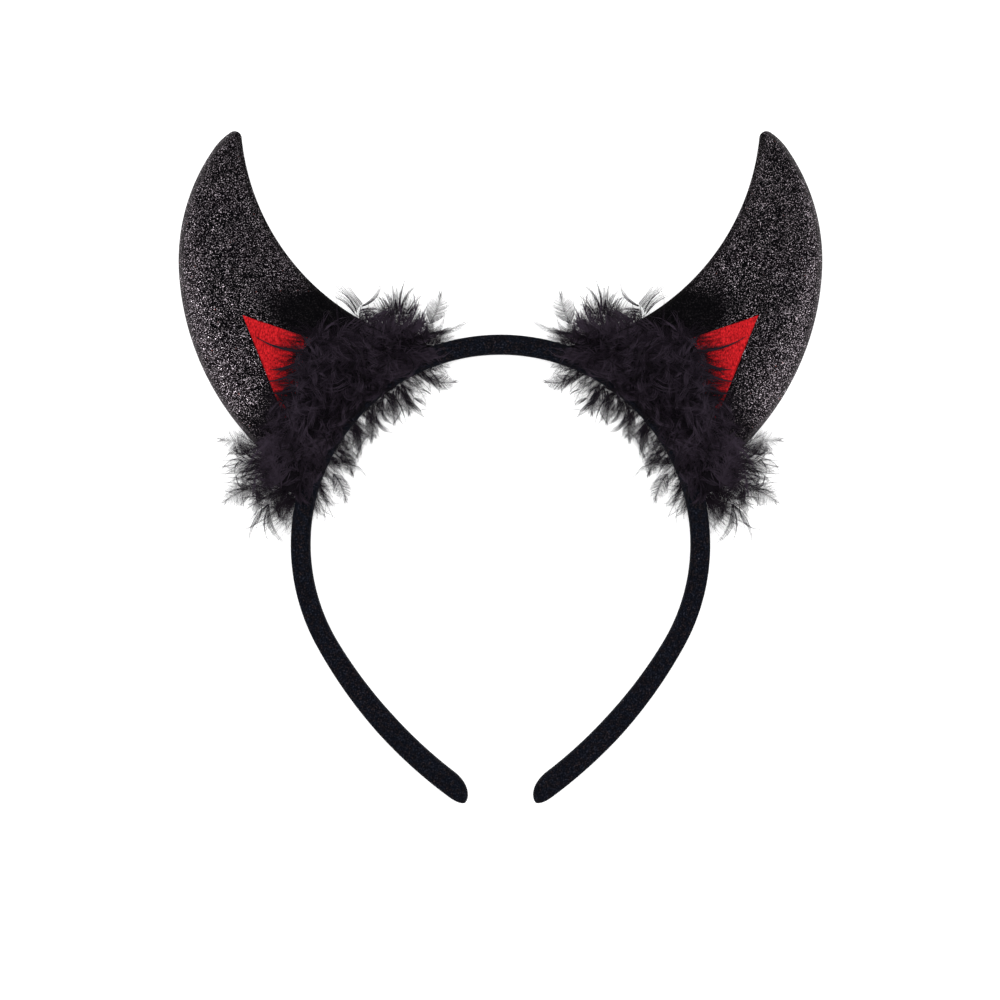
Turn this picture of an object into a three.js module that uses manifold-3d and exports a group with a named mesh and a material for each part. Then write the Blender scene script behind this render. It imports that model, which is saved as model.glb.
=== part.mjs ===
// A horned headband: a velvet hair band, two padded glitter horns with a red felt patch on each,
// and a strip of marabou feather round the foot of each horn. Millimetres.
// It lies on its back: +Z is its front, +Y runs from the band's open end to the horn tips, and
// z = 0 is the surface that it lies on. The left side (-X) is built once and mirrored for the right.

import * as THREE from 'three';
import { LoftGeometry } from 'three/addons/geometries/LoftGeometry.js';
import { mergeVertices } from 'three/addons/utils/BufferGeometryUtils.js';
import Module from 'manifold-3d';

const wasm = await Module();
wasm.setup();

// Clearance between pieces that touch on the real headband
const GAP = 0.4;
// Corners closer than this are one corner
const WELD = 1e-4;

// Band: the mid-line is an arch round ARCH_CENTRE, then a flatter leg on each side
const ARCH_CENTRE = new THREE.Vector2(0, -22.4);
const BAND = { midRadius: 57.8, archSweep: 120, legRadius: 135, legLength: 60.8, depth: 10 };
const BAND_STEPS = { arch: 33, leg: 6, tip: 6 };
// The strip's rounded corners, which shrink with it at the tips to a share of its half size
const BAND_CORNER = { radius: 2, share: 0.6, points: 3 };
const BAND_THICKNESS = [
  { fromCrown: 0, thickness: 5.7 },
  { fromCrown: 75, thickness: 5.5 },
  { fromCrown: 121, thickness: 5.7 },
  { fromCrown: 150, thickness: 6.5 },
  { fromCrown: 182, thickness: 6.6 },
];
// Each leg ends in a lopsided round: apexShift is how far its point lies outside the mid-line,
// and the other sizes are how far back the round starts on each side and in the depth
const BAND_TIP = { apexShift: 1.8, innerRound: 7.8, outerRound: 4.5, depthRound: 5 };

// Horn: its edge is a chain of tangent arcs from the outer foot, over the tip, to the inner foot
const HORN_FOOT = { bandAngle: 72.46, heading: 146.8, standOff: 0.5 };
const HORN_EDGE = [
  { part: 'outer side', radius: 77.3, sweep: -54.2 },
  { part: 'outer shoulder', radius: 56.4, sweep: -38 },
  { part: 'outer tip', radius: 17.2, sweep: -21.8 },
  { part: 'tip', radius: 2.06, sweep: -117.3 },
  { part: 'inner side', radius: 67.5, sweep: 74.3 },
];
const TIP_ARC = HORN_EDGE.findIndex((arc) => arc.part === 'tip');
// The two faces meet in a flat sewn rim and swell from it to a crown that follows the width
const HORN_PAD = { midHeight: 5, rimWidth: 1.3, rimHalf: 0.8, crown: 5.4, crownWidth: 12 };
// The padding is flatter at the foot, where the horn is sewn to the band
const HORN_FOOT_PAD = { fullness: 0.75, reach: 0.4 };
const HORN_STEPS = { along: 20, across: 10 };
// A horn narrower than this keeps the rim and clearance shares of this width
const NARROW_HORN = 4;
// How much closer together the sections lie towards the tip, and how fast the foot's curve fades
const TIP_CROWDING = 1.8;
const FOOT_FADE = 3;

// Felt patch: a triangle on the horn's front, by its corners in the plan
const PATCH_CORNERS = {
  apex: new THREE.Vector2(-74.4, 43.8),
  upper: new THREE.Vector2(-46.4, 34.1),
  lower: new THREE.Vector2(-59.7, 7.5),
};
const PATCH = { thickness: 1, steps: 8 };
// A first guess at a place on the horn, and how often and how finely it is corrected
const PLACE_SEARCH = { along: 0.25, across: 0.5, rounds: 8, probe: 1e-3 };

// Feather strip: a soft roll along an arc over the band's front, thinner towards its two ends
const STRIP = { radius: 64.5, fromAngle: 17, toAngle: 76, halfWidth: 9.5, height: 8 };
const STRIP_END = { share: 0.55, drop: 1.8, sharpness: 4 };
const STRIP_STEPS = { along: 16, round: 10 };
// Plumes that stand out past the band and the horn. station: share of the way along the strip from
// its upper end; heading: degrees from +X towards +Y; tipHeight: the tip above the surface below
const PLUMES = [
  { tuft: 'upper', station: 0.24, heading: 126, reach: 24.3, breadth: 4.5, tipHeight: 7 },
  { tuft: 'upper', station: 0.15, heading: 116, reach: 17.2, breadth: 5.5, tipHeight: 11 },
  { tuft: 'upper', station: 0.10, heading: 105, reach: 17.0, breadth: 6, tipHeight: 7 },
  { tuft: 'upper', station: 0.05, heading: 96, reach: 14.0, breadth: 4, tipHeight: 12 },
  { tuft: 'upper', station: 0, heading: 81, reach: 13.0, breadth: 5.5, tipHeight: 8 },
  { tuft: 'upper', station: 0, heading: 50, reach: 10.5, breadth: 4.5, tipHeight: 13 },
  { tuft: 'upper', station: 0, heading: 24, reach: 10.2, breadth: 5, tipHeight: 9 },
  { tuft: 'inner', station: 0.06, heading: -50, reach: 17.2, breadth: 4.5, tipHeight: 7 },
  { tuft: 'inner', station: 0.16, heading: -65, reach: 19.3, breadth: 5, tipHeight: 5 },
  { tuft: 'inner', station: 0.22, heading: -57, reach: 22.5, breadth: 4.5, tipHeight: 8 },
  { tuft: 'inner', station: 0.34, heading: -56, reach: 19.8, breadth: 4.5, tipHeight: 5 },
  { tuft: 'inner', station: 0.42, heading: -55, reach: 18.5, breadth: 4.5, tipHeight: 8 },
  { tuft: 'inner', station: 0.50, heading: -51, reach: 16.6, breadth: 4.5, tipHeight: 5 },
  { tuft: 'inner', station: 0.60, heading: -49, reach: 16.2, breadth: 5.5, tipHeight: 7 },
  { tuft: 'inner', station: 0.68, heading: -40, reach: 20.0, breadth: 5, tipHeight: 5 },
  { tuft: 'inner', station: 0.78, heading: -34, reach: 18.2, breadth: 5, tipHeight: 8 },
  { tuft: 'inner', station: 0.90, heading: -33, reach: 18.9, breadth: 5, tipHeight: 6 },
  { tuft: 'lower', station: 0.86, heading: 165, reach: 23.6, breadth: 5, tipHeight: 8 },
  { tuft: 'lower', station: 0.90, heading: 180, reach: 23.2, breadth: 5, tipHeight: 5 },
  { tuft: 'lower', station: 0.95, heading: 194, reach: 21.5, breadth: 5, tipHeight: 10 },
  { tuft: 'lower', station: 0.98, heading: 205, reach: 20.0, breadth: 5, tipHeight: 6 },
  { tuft: 'lower', station: 1, heading: 217, reach: 18.9, breadth: 5, tipHeight: 9 },
  { tuft: 'lower', station: 1, heading: 240, reach: 17.0, breadth: 5.5, tipHeight: 5 },
  { tuft: 'lower', station: 1, heading: 271, reach: 15.0, breadth: 5, tipHeight: 9 },
  { tuft: 'lower', station: 1, heading: 322, reach: 15.8, breadth: 5, tipHeight: 6 },
];
// Plumes on the strip's front, in rows along it. turn: degrees from straight outward; fan: how far
// every second plume of the row swings to either side
const FLEECE_ROWS = [
  { lies: 'over the horn', count: 11, turn: 0, fan: 26, reach: 15.5, breadth: 6.5, tipHeight: 14 },
  { lies: 'on the front', count: 8, turn: 90, fan: 35, reach: 8, breadth: 6.5, tipHeight: 21 },
  { lies: 'over the band', count: 7, turn: 180, fan: 24, reach: 11.5, breadth: 6, tipHeight: 15 },
];
const PLUME = { steps: 4, sides: 5, flatness: 0.5, widestAt: 0.4, rootShare: 0.7, arch: 2.5, sway: 2 };

const VELVET = new THREE.MeshStandardMaterial({ color: 0x0d0d10, roughness: 0.95 });
const GLITTER = new THREE.MeshStandardMaterial({ color: 0x1b1a1c, roughness: 0.5, metalness: 0.2 });
const FELT = new THREE.MeshStandardMaterial({ color: 0xd2161a, roughness: 0.95 });
const FEATHER = new THREE.MeshStandardMaterial({ color: 0x231e22, roughness: 0.8 });

const radians = THREE.MathUtils.degToRad;
const lerp = THREE.MathUtils.lerp;
const smoothstep = THREE.MathUtils.smoothstep;
const range = (count) => Array.from({ length: count }, (unused, index) => index);

// The value of one column of a table at a place between its rows
function readTable(rows, placeColumn, valueColumn, place) {
  const next = rows.findIndex((row) => row[placeColumn] >= place);
  if (next === 0) return rows[0][valueColumn];
  if (next < 0) return rows.at(-1)[valueColumn];
  const [before, after] = [rows[next - 1], rows[next]];
  const share = (place - before[placeColumn]) / (after[placeColumn] - before[placeColumn]);
  return lerp(before[valueColumn], after[valueColumn], share);
}

// A point of the left side at a distance from the arch's centre, by its angle from the crown
function fromArchCentre(radius, angle) {
  return new THREE.Vector2(
    ARCH_CENTRE.x - radius * Math.sin(radians(angle)),
    ARCH_CENTRE.y + radius * Math.cos(radians(angle)),
  );
}

// A section shrunk to its middle
function closed(section) {
  const middle = new THREE.Vector3();
  section.forEach((point) => middle.addScaledVector(point, 1 / section.length));
  return section.map(() => middle);
}

// A skin through the sections, without the triangles that collapse where a section shrinks to a
// line or a point. The first and last sections close it
function loft(sections) {
  const skin = new LoftGeometry(sections, { closed: true });
  const bare = new THREE.BufferGeometry();
  bare.setAttribute('position', skin.attributes.position);
  bare.setIndex(skin.index);
  const merged = mergeVertices(bare, WELD);
  const corners = merged.index.array;
  const kept = [];
  for (let at = 0; at < corners.length; at += 3) {
    const [a, b, c] = corners.subarray(at, at + 3);
    if (a !== b && b !== c && c !== a) kept.push(a, b, c);
  }
  merged.setIndex(kept);
  merged.computeVertexNormals();
  return merged;
}

function toSolid(geometry) {
  const vertProperties = new Float32Array(geometry.attributes.position.array);
  const triVerts = new Uint32Array(geometry.index.array);
  return new wasm.Manifold(new wasm.Mesh({ numProp: 3, vertProperties, triVerts }));
}

function toGeometry(solid) {
  const { vertProperties, triVerts } = solid.getMesh();
  const geometry = new THREE.BufferGeometry();
  geometry.setAttribute('position', new THREE.BufferAttribute(vertProperties, 3));
  geometry.setIndex(new THREE.BufferAttribute(triVerts, 1));
  geometry.computeVertexNormals();
  return geometry;
}

// Band

const ARCH_LENGTH = BAND.midRadius * radians(BAND.archSweep);
const BAND_HALF_LENGTH = ARCH_LENGTH + BAND.legLength;

// Mid-line point and outward direction at a distance from the crown, negative on the left
function bandStation(distance) {
  const side = Math.sign(distance);
  const along = Math.abs(distance);
  const onLeg = along > ARCH_LENGTH;
  const legAngle = radians(BAND.archSweep) + (along - ARCH_LENGTH) / BAND.legRadius;
  const angle = onLeg ? legAngle : along / BAND.midRadius;
  const outward = new THREE.Vector2(side * Math.sin(angle), Math.cos(angle));
  const centre = ARCH_CENTRE.clone();
  if (onLeg) {
    const turn = radians(BAND.archSweep);
    const towardsLeg = new THREE.Vector2(side * Math.sin(turn), Math.cos(turn));
    centre.addScaledVector(towardsLeg, BAND.midRadius - BAND.legRadius);
  }
  const radius = onLeg ? BAND.legRadius : BAND.midRadius;
  return { point: centre.addScaledVector(outward, radius), outward };
}

// How far a quarter-ellipse round has closed, 1 where it starts and 0 at the end of the leg
function roundShare(toEnd, length) {
  const share = Math.min(toEnd / length, 1);
  return Math.sqrt(1 - (1 - share) ** 2);
}

// The strip's reach to the inside, the outside and the front and back at a distance from the crown
function bandReach(distance) {
  const along = Math.abs(distance);
  const toEnd = Math.max(BAND_HALF_LENGTH - along, 0);
  const half = readTable(BAND_THICKNESS, 'fromCrown', 'thickness', along) / 2;
  const { apexShift, innerRound, outerRound, depthRound } = BAND_TIP;
  return {
    inner: apexShift - (half + apexShift) * roundShare(toEnd, innerRound),
    outer: apexShift + (half - apexShift) * roundShare(toEnd, outerRound),
    depthHalf: (BAND.depth / 2) * roundShare(toEnd, depthRound),
  };
}

// A rounded rectangle across the strip, corner by corner, grown all round by a clearance
function bandSection(distance, grow) {
  const { point, outward } = bandStation(distance);
  const { inner, outer, depthHalf } = bandReach(distance);
  const middle = (inner + outer) / 2;
  const radialHalf = (outer - inner) / 2 + grow;
  const heightHalf = depthHalf + grow;
  const { radius, share, points } = BAND_CORNER;
  const corner = Math.min(radius, radialHalf * share, heightHalf * share);
  return range(4 * points).map((index) => {
    const quarter = Math.floor(index / points);
    const turn = (quarter + (index % points) / (points - 1)) * (Math.PI / 2);
    const right = quarter === 0 || quarter === 3 ? 1 : -1;
    const up = quarter < 2 ? 1 : -1;
    const radial = middle + right * (radialHalf - corner) + corner * Math.cos(turn);
    const height = BAND.depth / 2 + up * (heightHalf - corner) + corner * Math.sin(turn);
    return new THREE.Vector3(point.x + outward.x * radial, point.y + outward.y * radial, height);
  });
}

function bandGeometry(grow = 0) {
  const tipLength = BAND_TIP.innerRound;
  const tipStart = BAND_HALF_LENGTH - tipLength;
  const legs = range(BAND_STEPS.leg).map((step) => lerp(ARCH_LENGTH, tipStart, (step + 1) / BAND_STEPS.leg));
  const tips = range(BAND_STEPS.tip).map((step) => {
    const turn = ((step + 1) / BAND_STEPS.tip) * (Math.PI / 2);
    return tipStart + tipLength * Math.sin(turn);
  });
  const side = [...legs, ...tips];
  const archShares = range(BAND_STEPS.arch + 1).map((step) => step / BAND_STEPS.arch);
  const arch = archShares.map((share) => lerp(-ARCH_LENGTH, ARCH_LENGTH, share));
  const distances = [...side.map((distance) => -distance).reverse(), ...arch, ...side];
  const sections = distances.map((distance) => bandSection(distance, grow));
  return loft([closed(sections[0]), ...sections, closed(sections.at(-1))]);
}

// Horn

const HORN_SEAT = BAND.midRadius + bandReach(BAND.midRadius).outer + HORN_FOOT.standOff;

// The arcs of the horn's edge with their centres, walked from the outer foot
function hornArcs() {
  let point = fromArchCentre(HORN_SEAT, HORN_FOOT.bandAngle);
  let heading = HORN_FOOT.heading;
  return HORN_EDGE.map(({ radius, sweep }) => {
    const turnSide = Math.sign(sweep);
    const startAngle = heading - turnSide * 90;
    const spoke = new THREE.Vector2(Math.cos(radians(startAngle)), Math.sin(radians(startAngle)));
    const centre = point.clone().addScaledVector(spoke, -radius);
    heading += sweep;
    const arc = { centre, radius, startAngle, sweep, length: radius * radians(Math.abs(sweep)) };
    point = pointOnArc(arc, 1);
    return arc;
  });
}

function pointOnArc({ centre, radius, startAngle, sweep }, share) {
  const angle = radians(startAngle + sweep * share);
  return new THREE.Vector2(centre.x + radius * Math.cos(angle), centre.y + radius * Math.sin(angle));
}

const ARCS = hornArcs();
const totalLength = (arcs) => arcs.reduce((sum, arc) => sum + arc.length, 0);
const OUTER_LENGTH = totalLength(ARCS.slice(0, TIP_ARC)) + ARCS[TIP_ARC].length / 2;
const INNER_LENGTH = totalLength(ARCS.slice(TIP_ARC)) - ARCS[TIP_ARC].length / 2;
const INNER_FOOT = pointOnArc(ARCS.at(-1), 1).sub(ARCH_CENTRE);
const INNER_FOOT_ANGLE = THREE.MathUtils.radToDeg(Math.atan2(-INNER_FOOT.x, INNER_FOOT.y));

// A point of the horn's edge at a length from the outer foot
function hornEdge(length) {
  let left = length;
  for (const arc of ARCS) {
    if (left <= arc.length) return pointOnArc(arc, left / arc.length);
    left -= arc.length;
  }
  return pointOnArc(ARCS.at(-1), 1);
}

// Where a share of the way along (foot to tip) and across (outer to inner edge) lies in the plan.
// The foot follows the band, and that curve fades out along the horn
function hornPlan(along, across) {
  const outer = hornEdge(OUTER_LENGTH * along);
  const inner = hornEdge(OUTER_LENGTH + INNER_LENGTH * (1 - along));
  const point = outer.clone().lerp(inner, across);
  const seatAngle = lerp(HORN_FOOT.bandAngle, INNER_FOOT_ANGLE, across);
  const seat = fromArchCentre(HORN_SEAT, seatAngle);
  const chord = hornEdge(0).lerp(hornEdge(OUTER_LENGTH + INNER_LENGTH), across);
  return point.addScaledVector(seat.sub(chord), (1 - along) ** FOOT_FADE);
}

function hornWidth(along) {
  return hornEdge(OUTER_LENGTH * along).distanceTo(hornEdge(OUTER_LENGTH + INNER_LENGTH * (1 - along)));
}

// Half the padding's thickness at a place on the horn
function hornSwell(along, across) {
  const width = hornWidth(along);
  const rim = HORN_PAD.rimWidth / Math.max(width, NARROW_HORN);
  const inside = THREE.MathUtils.clamp((across - rim) / (1 - 2 * rim), 0, 1);
  const crown = HORN_PAD.crown * (1 - Math.exp(-width / HORN_PAD.crownWidth));
  const foot = lerp(HORN_FOOT_PAD.fullness, 1, smoothstep(along, 0, HORN_FOOT_PAD.reach));
  const rimHalf = Math.min(HORN_PAD.rimHalf, width / 2);
  return rimHalf + crown * foot * Math.sqrt(Math.sin(Math.PI * inside));
}

// The front or back surface of the horn (face 1 or -1), no lower than the surface that it lies on,
// grown all round by a clearance
function hornSurface(along, across, face, grow = 0) {
  const spread = 1 + (2 * grow) / Math.max(hornWidth(along), NARROW_HORN);
  const plan = hornPlan(along, 0.5 + (across - 0.5) * spread);
  const height = HORN_PAD.midHeight + face * (hornSwell(along, across) + grow);
  return new THREE.Vector3(plan.x, plan.y, Math.max(height, 0));
}

// A section from the outer edge over the front to the inner edge and back underneath
function hornSection(along, grow) {
  const count = HORN_STEPS.across;
  const across = range(count + 1).map((step) => (1 - Math.cos((Math.PI * step) / count)) / 2);
  const front = across.map((share) => hornSurface(along, share, 1, grow));
  const back = across.toReversed().map((share) => hornSurface(along, share, -1, grow));
  return [...front, ...back];
}

function hornGeometry(grow = 0) {
  const shares = range(HORN_STEPS.along + 1).map((step) => step / HORN_STEPS.along);
  const sections = shares.map((share) => hornSection(1 - (1 - share) ** TIP_CROWDING, grow));
  const footLine = sections[0].map((point) => point.clone().setZ(HORN_PAD.midHeight));
  return loft([footLine, ...sections, closed(sections.at(-1))]);
}

// Felt patch

// The shares along and across the horn of a point of the plan, by steps towards it
function hornShares(target) {
  const { rounds, probe } = PLACE_SEARCH;
  let { along, across } = PLACE_SEARCH;
  for (let round = 0; round < rounds; round += 1) {
    const here = hornPlan(along, across);
    const alongSlope = hornPlan(along + probe, across).sub(here).divideScalar(probe);
    const acrossSlope = hornPlan(along, across + probe).sub(here).divideScalar(probe);
    const miss = target.clone().sub(here);
    const area = alongSlope.cross(acrossSlope);
    along += miss.cross(acrossSlope) / area;
    across += alongSlope.cross(miss) / area;
  }
  return { along, across };
}

// A flat piece laid on the horn's front between its three corners, row by row from the apex
function patchGeometry() {
  const { apex, upper, lower } = PATCH_CORNERS;
  const onFace = (towardsFoot, towardsUpper, lift) => {
    const foot = lower.clone().lerp(upper, towardsUpper);
    const plan = apex.clone().lerp(foot, towardsFoot);
    const { along, across } = hornShares(plan);
    const height = HORN_PAD.midHeight + hornSwell(along, across) + GAP + lift;
    return new THREE.Vector3(plan.x, plan.y, height);
  };
  const shares = range(PATCH.steps + 1).map((step) => step / PATCH.steps);
  const row = (towardsFoot, thickness) => [
    ...shares.map((share) => onFace(towardsFoot, share, 0)),
    ...shares.toReversed().map((share) => onFace(towardsFoot, share, thickness)),
  ];
  const rows = shares.map((share) => row(share, PATCH.thickness));
  return loft([row(0, 0), ...rows, row(1, 0)]);
}

// Feather trim

// 0 over most of the strip, rising to 1 at its two ends
function towardsEnd(station) {
  return Math.abs(2 * station - 1) ** STRIP_END.sharpness;
}

function stripMiddle(station) {
  const plan = fromArchCentre(STRIP.radius, lerp(STRIP.fromAngle, STRIP.toAngle, station));
  const height = BAND.depth + GAP + STRIP.height / 2 - STRIP_END.drop * towardsEnd(station);
  return new THREE.Vector3(plan.x, plan.y, height);
}

// The soft roll that the plumes grow from
function stripGeometry() {
  const section = (station) => {
    const middle = stripMiddle(station);
    const outward = fromArchCentre(1, lerp(STRIP.fromAngle, STRIP.toAngle, station)).sub(ARCH_CENTRE);
    const size = lerp(1, STRIP_END.share, towardsEnd(station));
    return range(STRIP_STEPS.round).map((side) => {
      const turn = (2 * Math.PI * side) / STRIP_STEPS.round;
      const radial = STRIP.halfWidth * size * Math.sin(turn);
      const height = (STRIP.height / 2) * size * Math.cos(turn);
      return middle.clone().add(new THREE.Vector3(outward.x * radial, outward.y * radial, height));
    });
  };
  const body = range(STRIP_STEPS.along + 1).map((step) => section(step / STRIP_STEPS.along));
  return loft([closed(body[0]), ...body, closed(body.at(-1))]);
}

// A leaf-shaped lock from the roll to its tip, along an arched spine
function plumeGeometry({ station, heading, reach, breadth, tipHeight }, index) {
  const root = stripMiddle(station);
  const direction = new THREE.Vector3(Math.cos(radians(heading)), Math.sin(radians(heading)), 0);
  const tip = root.clone().addScaledVector(direction, reach).setZ(tipHeight);
  const sideways = new THREE.Vector3(-direction.y, direction.x, 0);
  const bow = root.clone().lerp(tip, 0.5).setZ(Math.max(root.z, tipHeight) + PLUME.arch);
  bow.addScaledVector(sideways, index % 2 === 0 ? PLUME.sway : -PLUME.sway);
  const spine = new THREE.QuadraticBezierCurve3(root, bow, tip);
  const half = (share) => {
    const rise = lerp(PLUME.rootShare, 1, smoothstep(share, 0, PLUME.widestAt));
    const fall = 1 - Math.max((share - PLUME.widestAt) / (1 - PLUME.widestAt), 0) ** 2;
    return (breadth / 2) * rise * fall;
  };
  const section = (share) => {
    const middle = spine.getPoint(share);
    const upward = spine.getTangent(share).cross(sideways);
    return range(PLUME.sides).map((side) => {
      const turn = (2 * Math.PI * side) / PLUME.sides;
      return middle.clone()
        .addScaledVector(sideways, half(share) * Math.cos(turn))
        .addScaledVector(upward, half(share) * PLUME.flatness * Math.sin(turn));
    });
  };
  const turns = range(PLUME.steps + 1).map((step) => (Math.PI / 2) * (step / PLUME.steps));
  const body = turns.map((turn) => section(Math.sin(turn)));
  return loft([closed(body[0]), ...body]);
}

function fleeceRow({ count, turn, fan, reach, breadth, tipHeight }) {
  return range(count).map((index) => {
    const station = (index + 0.5) / count;
    const outward = 90 + lerp(STRIP.fromAngle, STRIP.toAngle, station);
    const swing = index % 2 === 0 ? fan : -fan;
    return { station, heading: outward + turn + swing, reach, breadth, tipHeight };
  });
}

// The roll and its plumes as one soft body, kept clear of what it lies over
function trimGeometry(neighbours) {
  const plumes = [...PLUMES, ...FLEECE_ROWS.flatMap(fleeceRow)];
  const locks = plumes.map((plume, index) => toSolid(plumeGeometry(plume, index)));
  const whole = locks.reduce((body, lock) => body.add(lock), toSolid(stripGeometry()));
  const cut = neighbours.reduce((body, neighbour) => body.subtract(neighbour), whole);
  const bodies = cut.decompose().sort((first, second) => second.volume() - first.volume());
  return toGeometry(bodies[0]);
}

// Assembly

function mesh(name, geometry, material) {
  const piece = new THREE.Mesh(geometry, material);
  piece.name = name;
  return piece;
}

const horn = hornGeometry();
const patch = patchGeometry();
const overPatch = PATCH.thickness + 2 * GAP;
const trim = trimGeometry([toSolid(bandGeometry(GAP)), toSolid(hornGeometry(overPatch))]);

const headband = new THREE.Group();
headband.add(mesh('band', bandGeometry(), VELVET));
for (const side of ['left', 'right']) {
  const half = new THREE.Group();
  half.scale.x = side === 'left' ? 1 : -1;
  half.add(mesh(`horn_${side}`, horn, GLITTER));
  half.add(mesh(`inner_patch_${side}`, patch, FELT));
  half.add(mesh(`feather_trim_${side}`, trim, FEATHER));
  headband.add(half);
}

export default headband;
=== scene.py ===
"""Looks of a horned headband: velvet band, glitter horns, red felt patches and marabou feather trim.

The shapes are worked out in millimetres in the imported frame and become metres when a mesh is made.
+X is the right-hand side seen from the front, +Y runs from the band's open end to the horn tips, +Z
comes out of the front, and z = 0 is the surface that the headband lies on. The left half is worked
out and the right half is its mirror image.
"""

import logging
import math
from dataclasses import dataclass, field
from enum import Enum
from functools import partial

import bpy
import numpy as np
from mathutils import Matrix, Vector


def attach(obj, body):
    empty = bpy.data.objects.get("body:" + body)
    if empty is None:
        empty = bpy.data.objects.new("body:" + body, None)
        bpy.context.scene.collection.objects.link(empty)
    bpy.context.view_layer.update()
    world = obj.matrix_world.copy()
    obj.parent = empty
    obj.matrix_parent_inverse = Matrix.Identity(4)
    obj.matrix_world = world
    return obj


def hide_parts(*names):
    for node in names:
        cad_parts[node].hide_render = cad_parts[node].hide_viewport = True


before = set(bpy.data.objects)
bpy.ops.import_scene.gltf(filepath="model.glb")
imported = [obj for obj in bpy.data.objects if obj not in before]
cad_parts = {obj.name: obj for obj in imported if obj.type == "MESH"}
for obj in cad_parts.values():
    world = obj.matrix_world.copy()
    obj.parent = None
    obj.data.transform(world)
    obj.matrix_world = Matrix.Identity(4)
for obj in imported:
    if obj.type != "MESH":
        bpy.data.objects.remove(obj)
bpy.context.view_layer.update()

Array = np.ndarray
Values = float | Array
Range = tuple[float, float]
PlanPoint = tuple[float, float]
Triple = tuple[float, float, float]
Colour = tuple[float, float, float]
Stops = tuple[tuple[float, Colour], ...]
Socket = bpy.types.NodeSocket
Draw = np.random.Generator

LOG = logging.getLogger("headband")
MM = 0.001
TINY = 1e-12
UP = np.array([0.0, 0.0, 1.0])
FULL_TURN = 2 * math.pi
RISE = (0.0, 1.0)
FALL = (1.0, 0.0)
MIRROR = np.array([-1.0, 1.0, 1.0])
ARCH_CENTRE = np.array([0.0, -22.4])
SPIKE_CORNERS = (90.0, 210.0, 330.0)
UPRIGHT_NUDGE = 1e-6
BODY = "root"


class Side(Enum):
    """The two halves of the headband, with the sign of their X."""

    LEFT = -1
    RIGHT = 1

    @property
    def word(self) -> str:
        """The half's name as the nodes spell it."""
        return self.name.lower()


def lerp(start: Values, end: Values, share: Values) -> Values:
    """A share of the way from start to end."""
    return start + (end - start) * share


def smoothstep(low: float, high: float, value: Values) -> Values:
    """0 below low, 1 above high and a smooth rise between."""
    share = np.clip((value - low) / (high - low), 0.0, 1.0)
    return share * share * (3.0 - 2.0 * share)


def unit(vectors: Array) -> Array:
    """The vectors of the last axis, scaled to length 1."""
    return vectors / np.maximum(np.linalg.norm(vectors, axis=-1, keepdims=True), TINY)


def heading(angle: Values) -> Array:
    """Plan directions at angles from +X, in radians."""
    return np.stack([np.cos(angle), np.sin(angle)], axis=-1)


def left_of(run: Array) -> Array:
    """Vectors, in plan or with a height, turned a quarter turn to the left, with no height."""
    flat = np.zeros_like(run[..., 2:])
    return np.concatenate([-run[..., 1:2], run[..., :1], flat], axis=-1)


def lifted(plan: Array, height: Values) -> Array:
    """Points at a height over plan points."""
    level = np.broadcast_to(height, plan.shape[:-1])
    return np.concatenate([plan, level[..., None]], axis=-1)


def bent(root: Array, bow: Array, tip: Array, share: Array) -> Array:
    """Points of curves that set out from their root towards their bow and come to their tip from it.

    Args:
        root: where each curve starts.
        bow: the point that bends each curve.
        tip: where each curve ends.
        share: shares of the way, by curve and place.

    Returns:
        Points by curve and place.
    """
    part = share[..., None]
    start, middle, end = root[:, None], bow[:, None], tip[:, None]
    return (1 - part) ** 2 * start + 2 * part * (1 - part) * middle + part**2 * end


def around_arch(radius: Values, angle: Values) -> Array:
    """Plan points of the left half by their distance from the arch's centre and degrees from the crown."""
    turn = np.radians(angle)
    return ARCH_CENTRE + np.stack([-radius * np.sin(turn), radius * np.cos(turn)], axis=-1)


def arch_angle(offset: Array) -> Array:
    """Angles from the crown, in degrees, of plan offsets from the arch's centre."""
    return np.degrees(np.arctan2(-offset[..., 0], offset[..., 1]))


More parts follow.
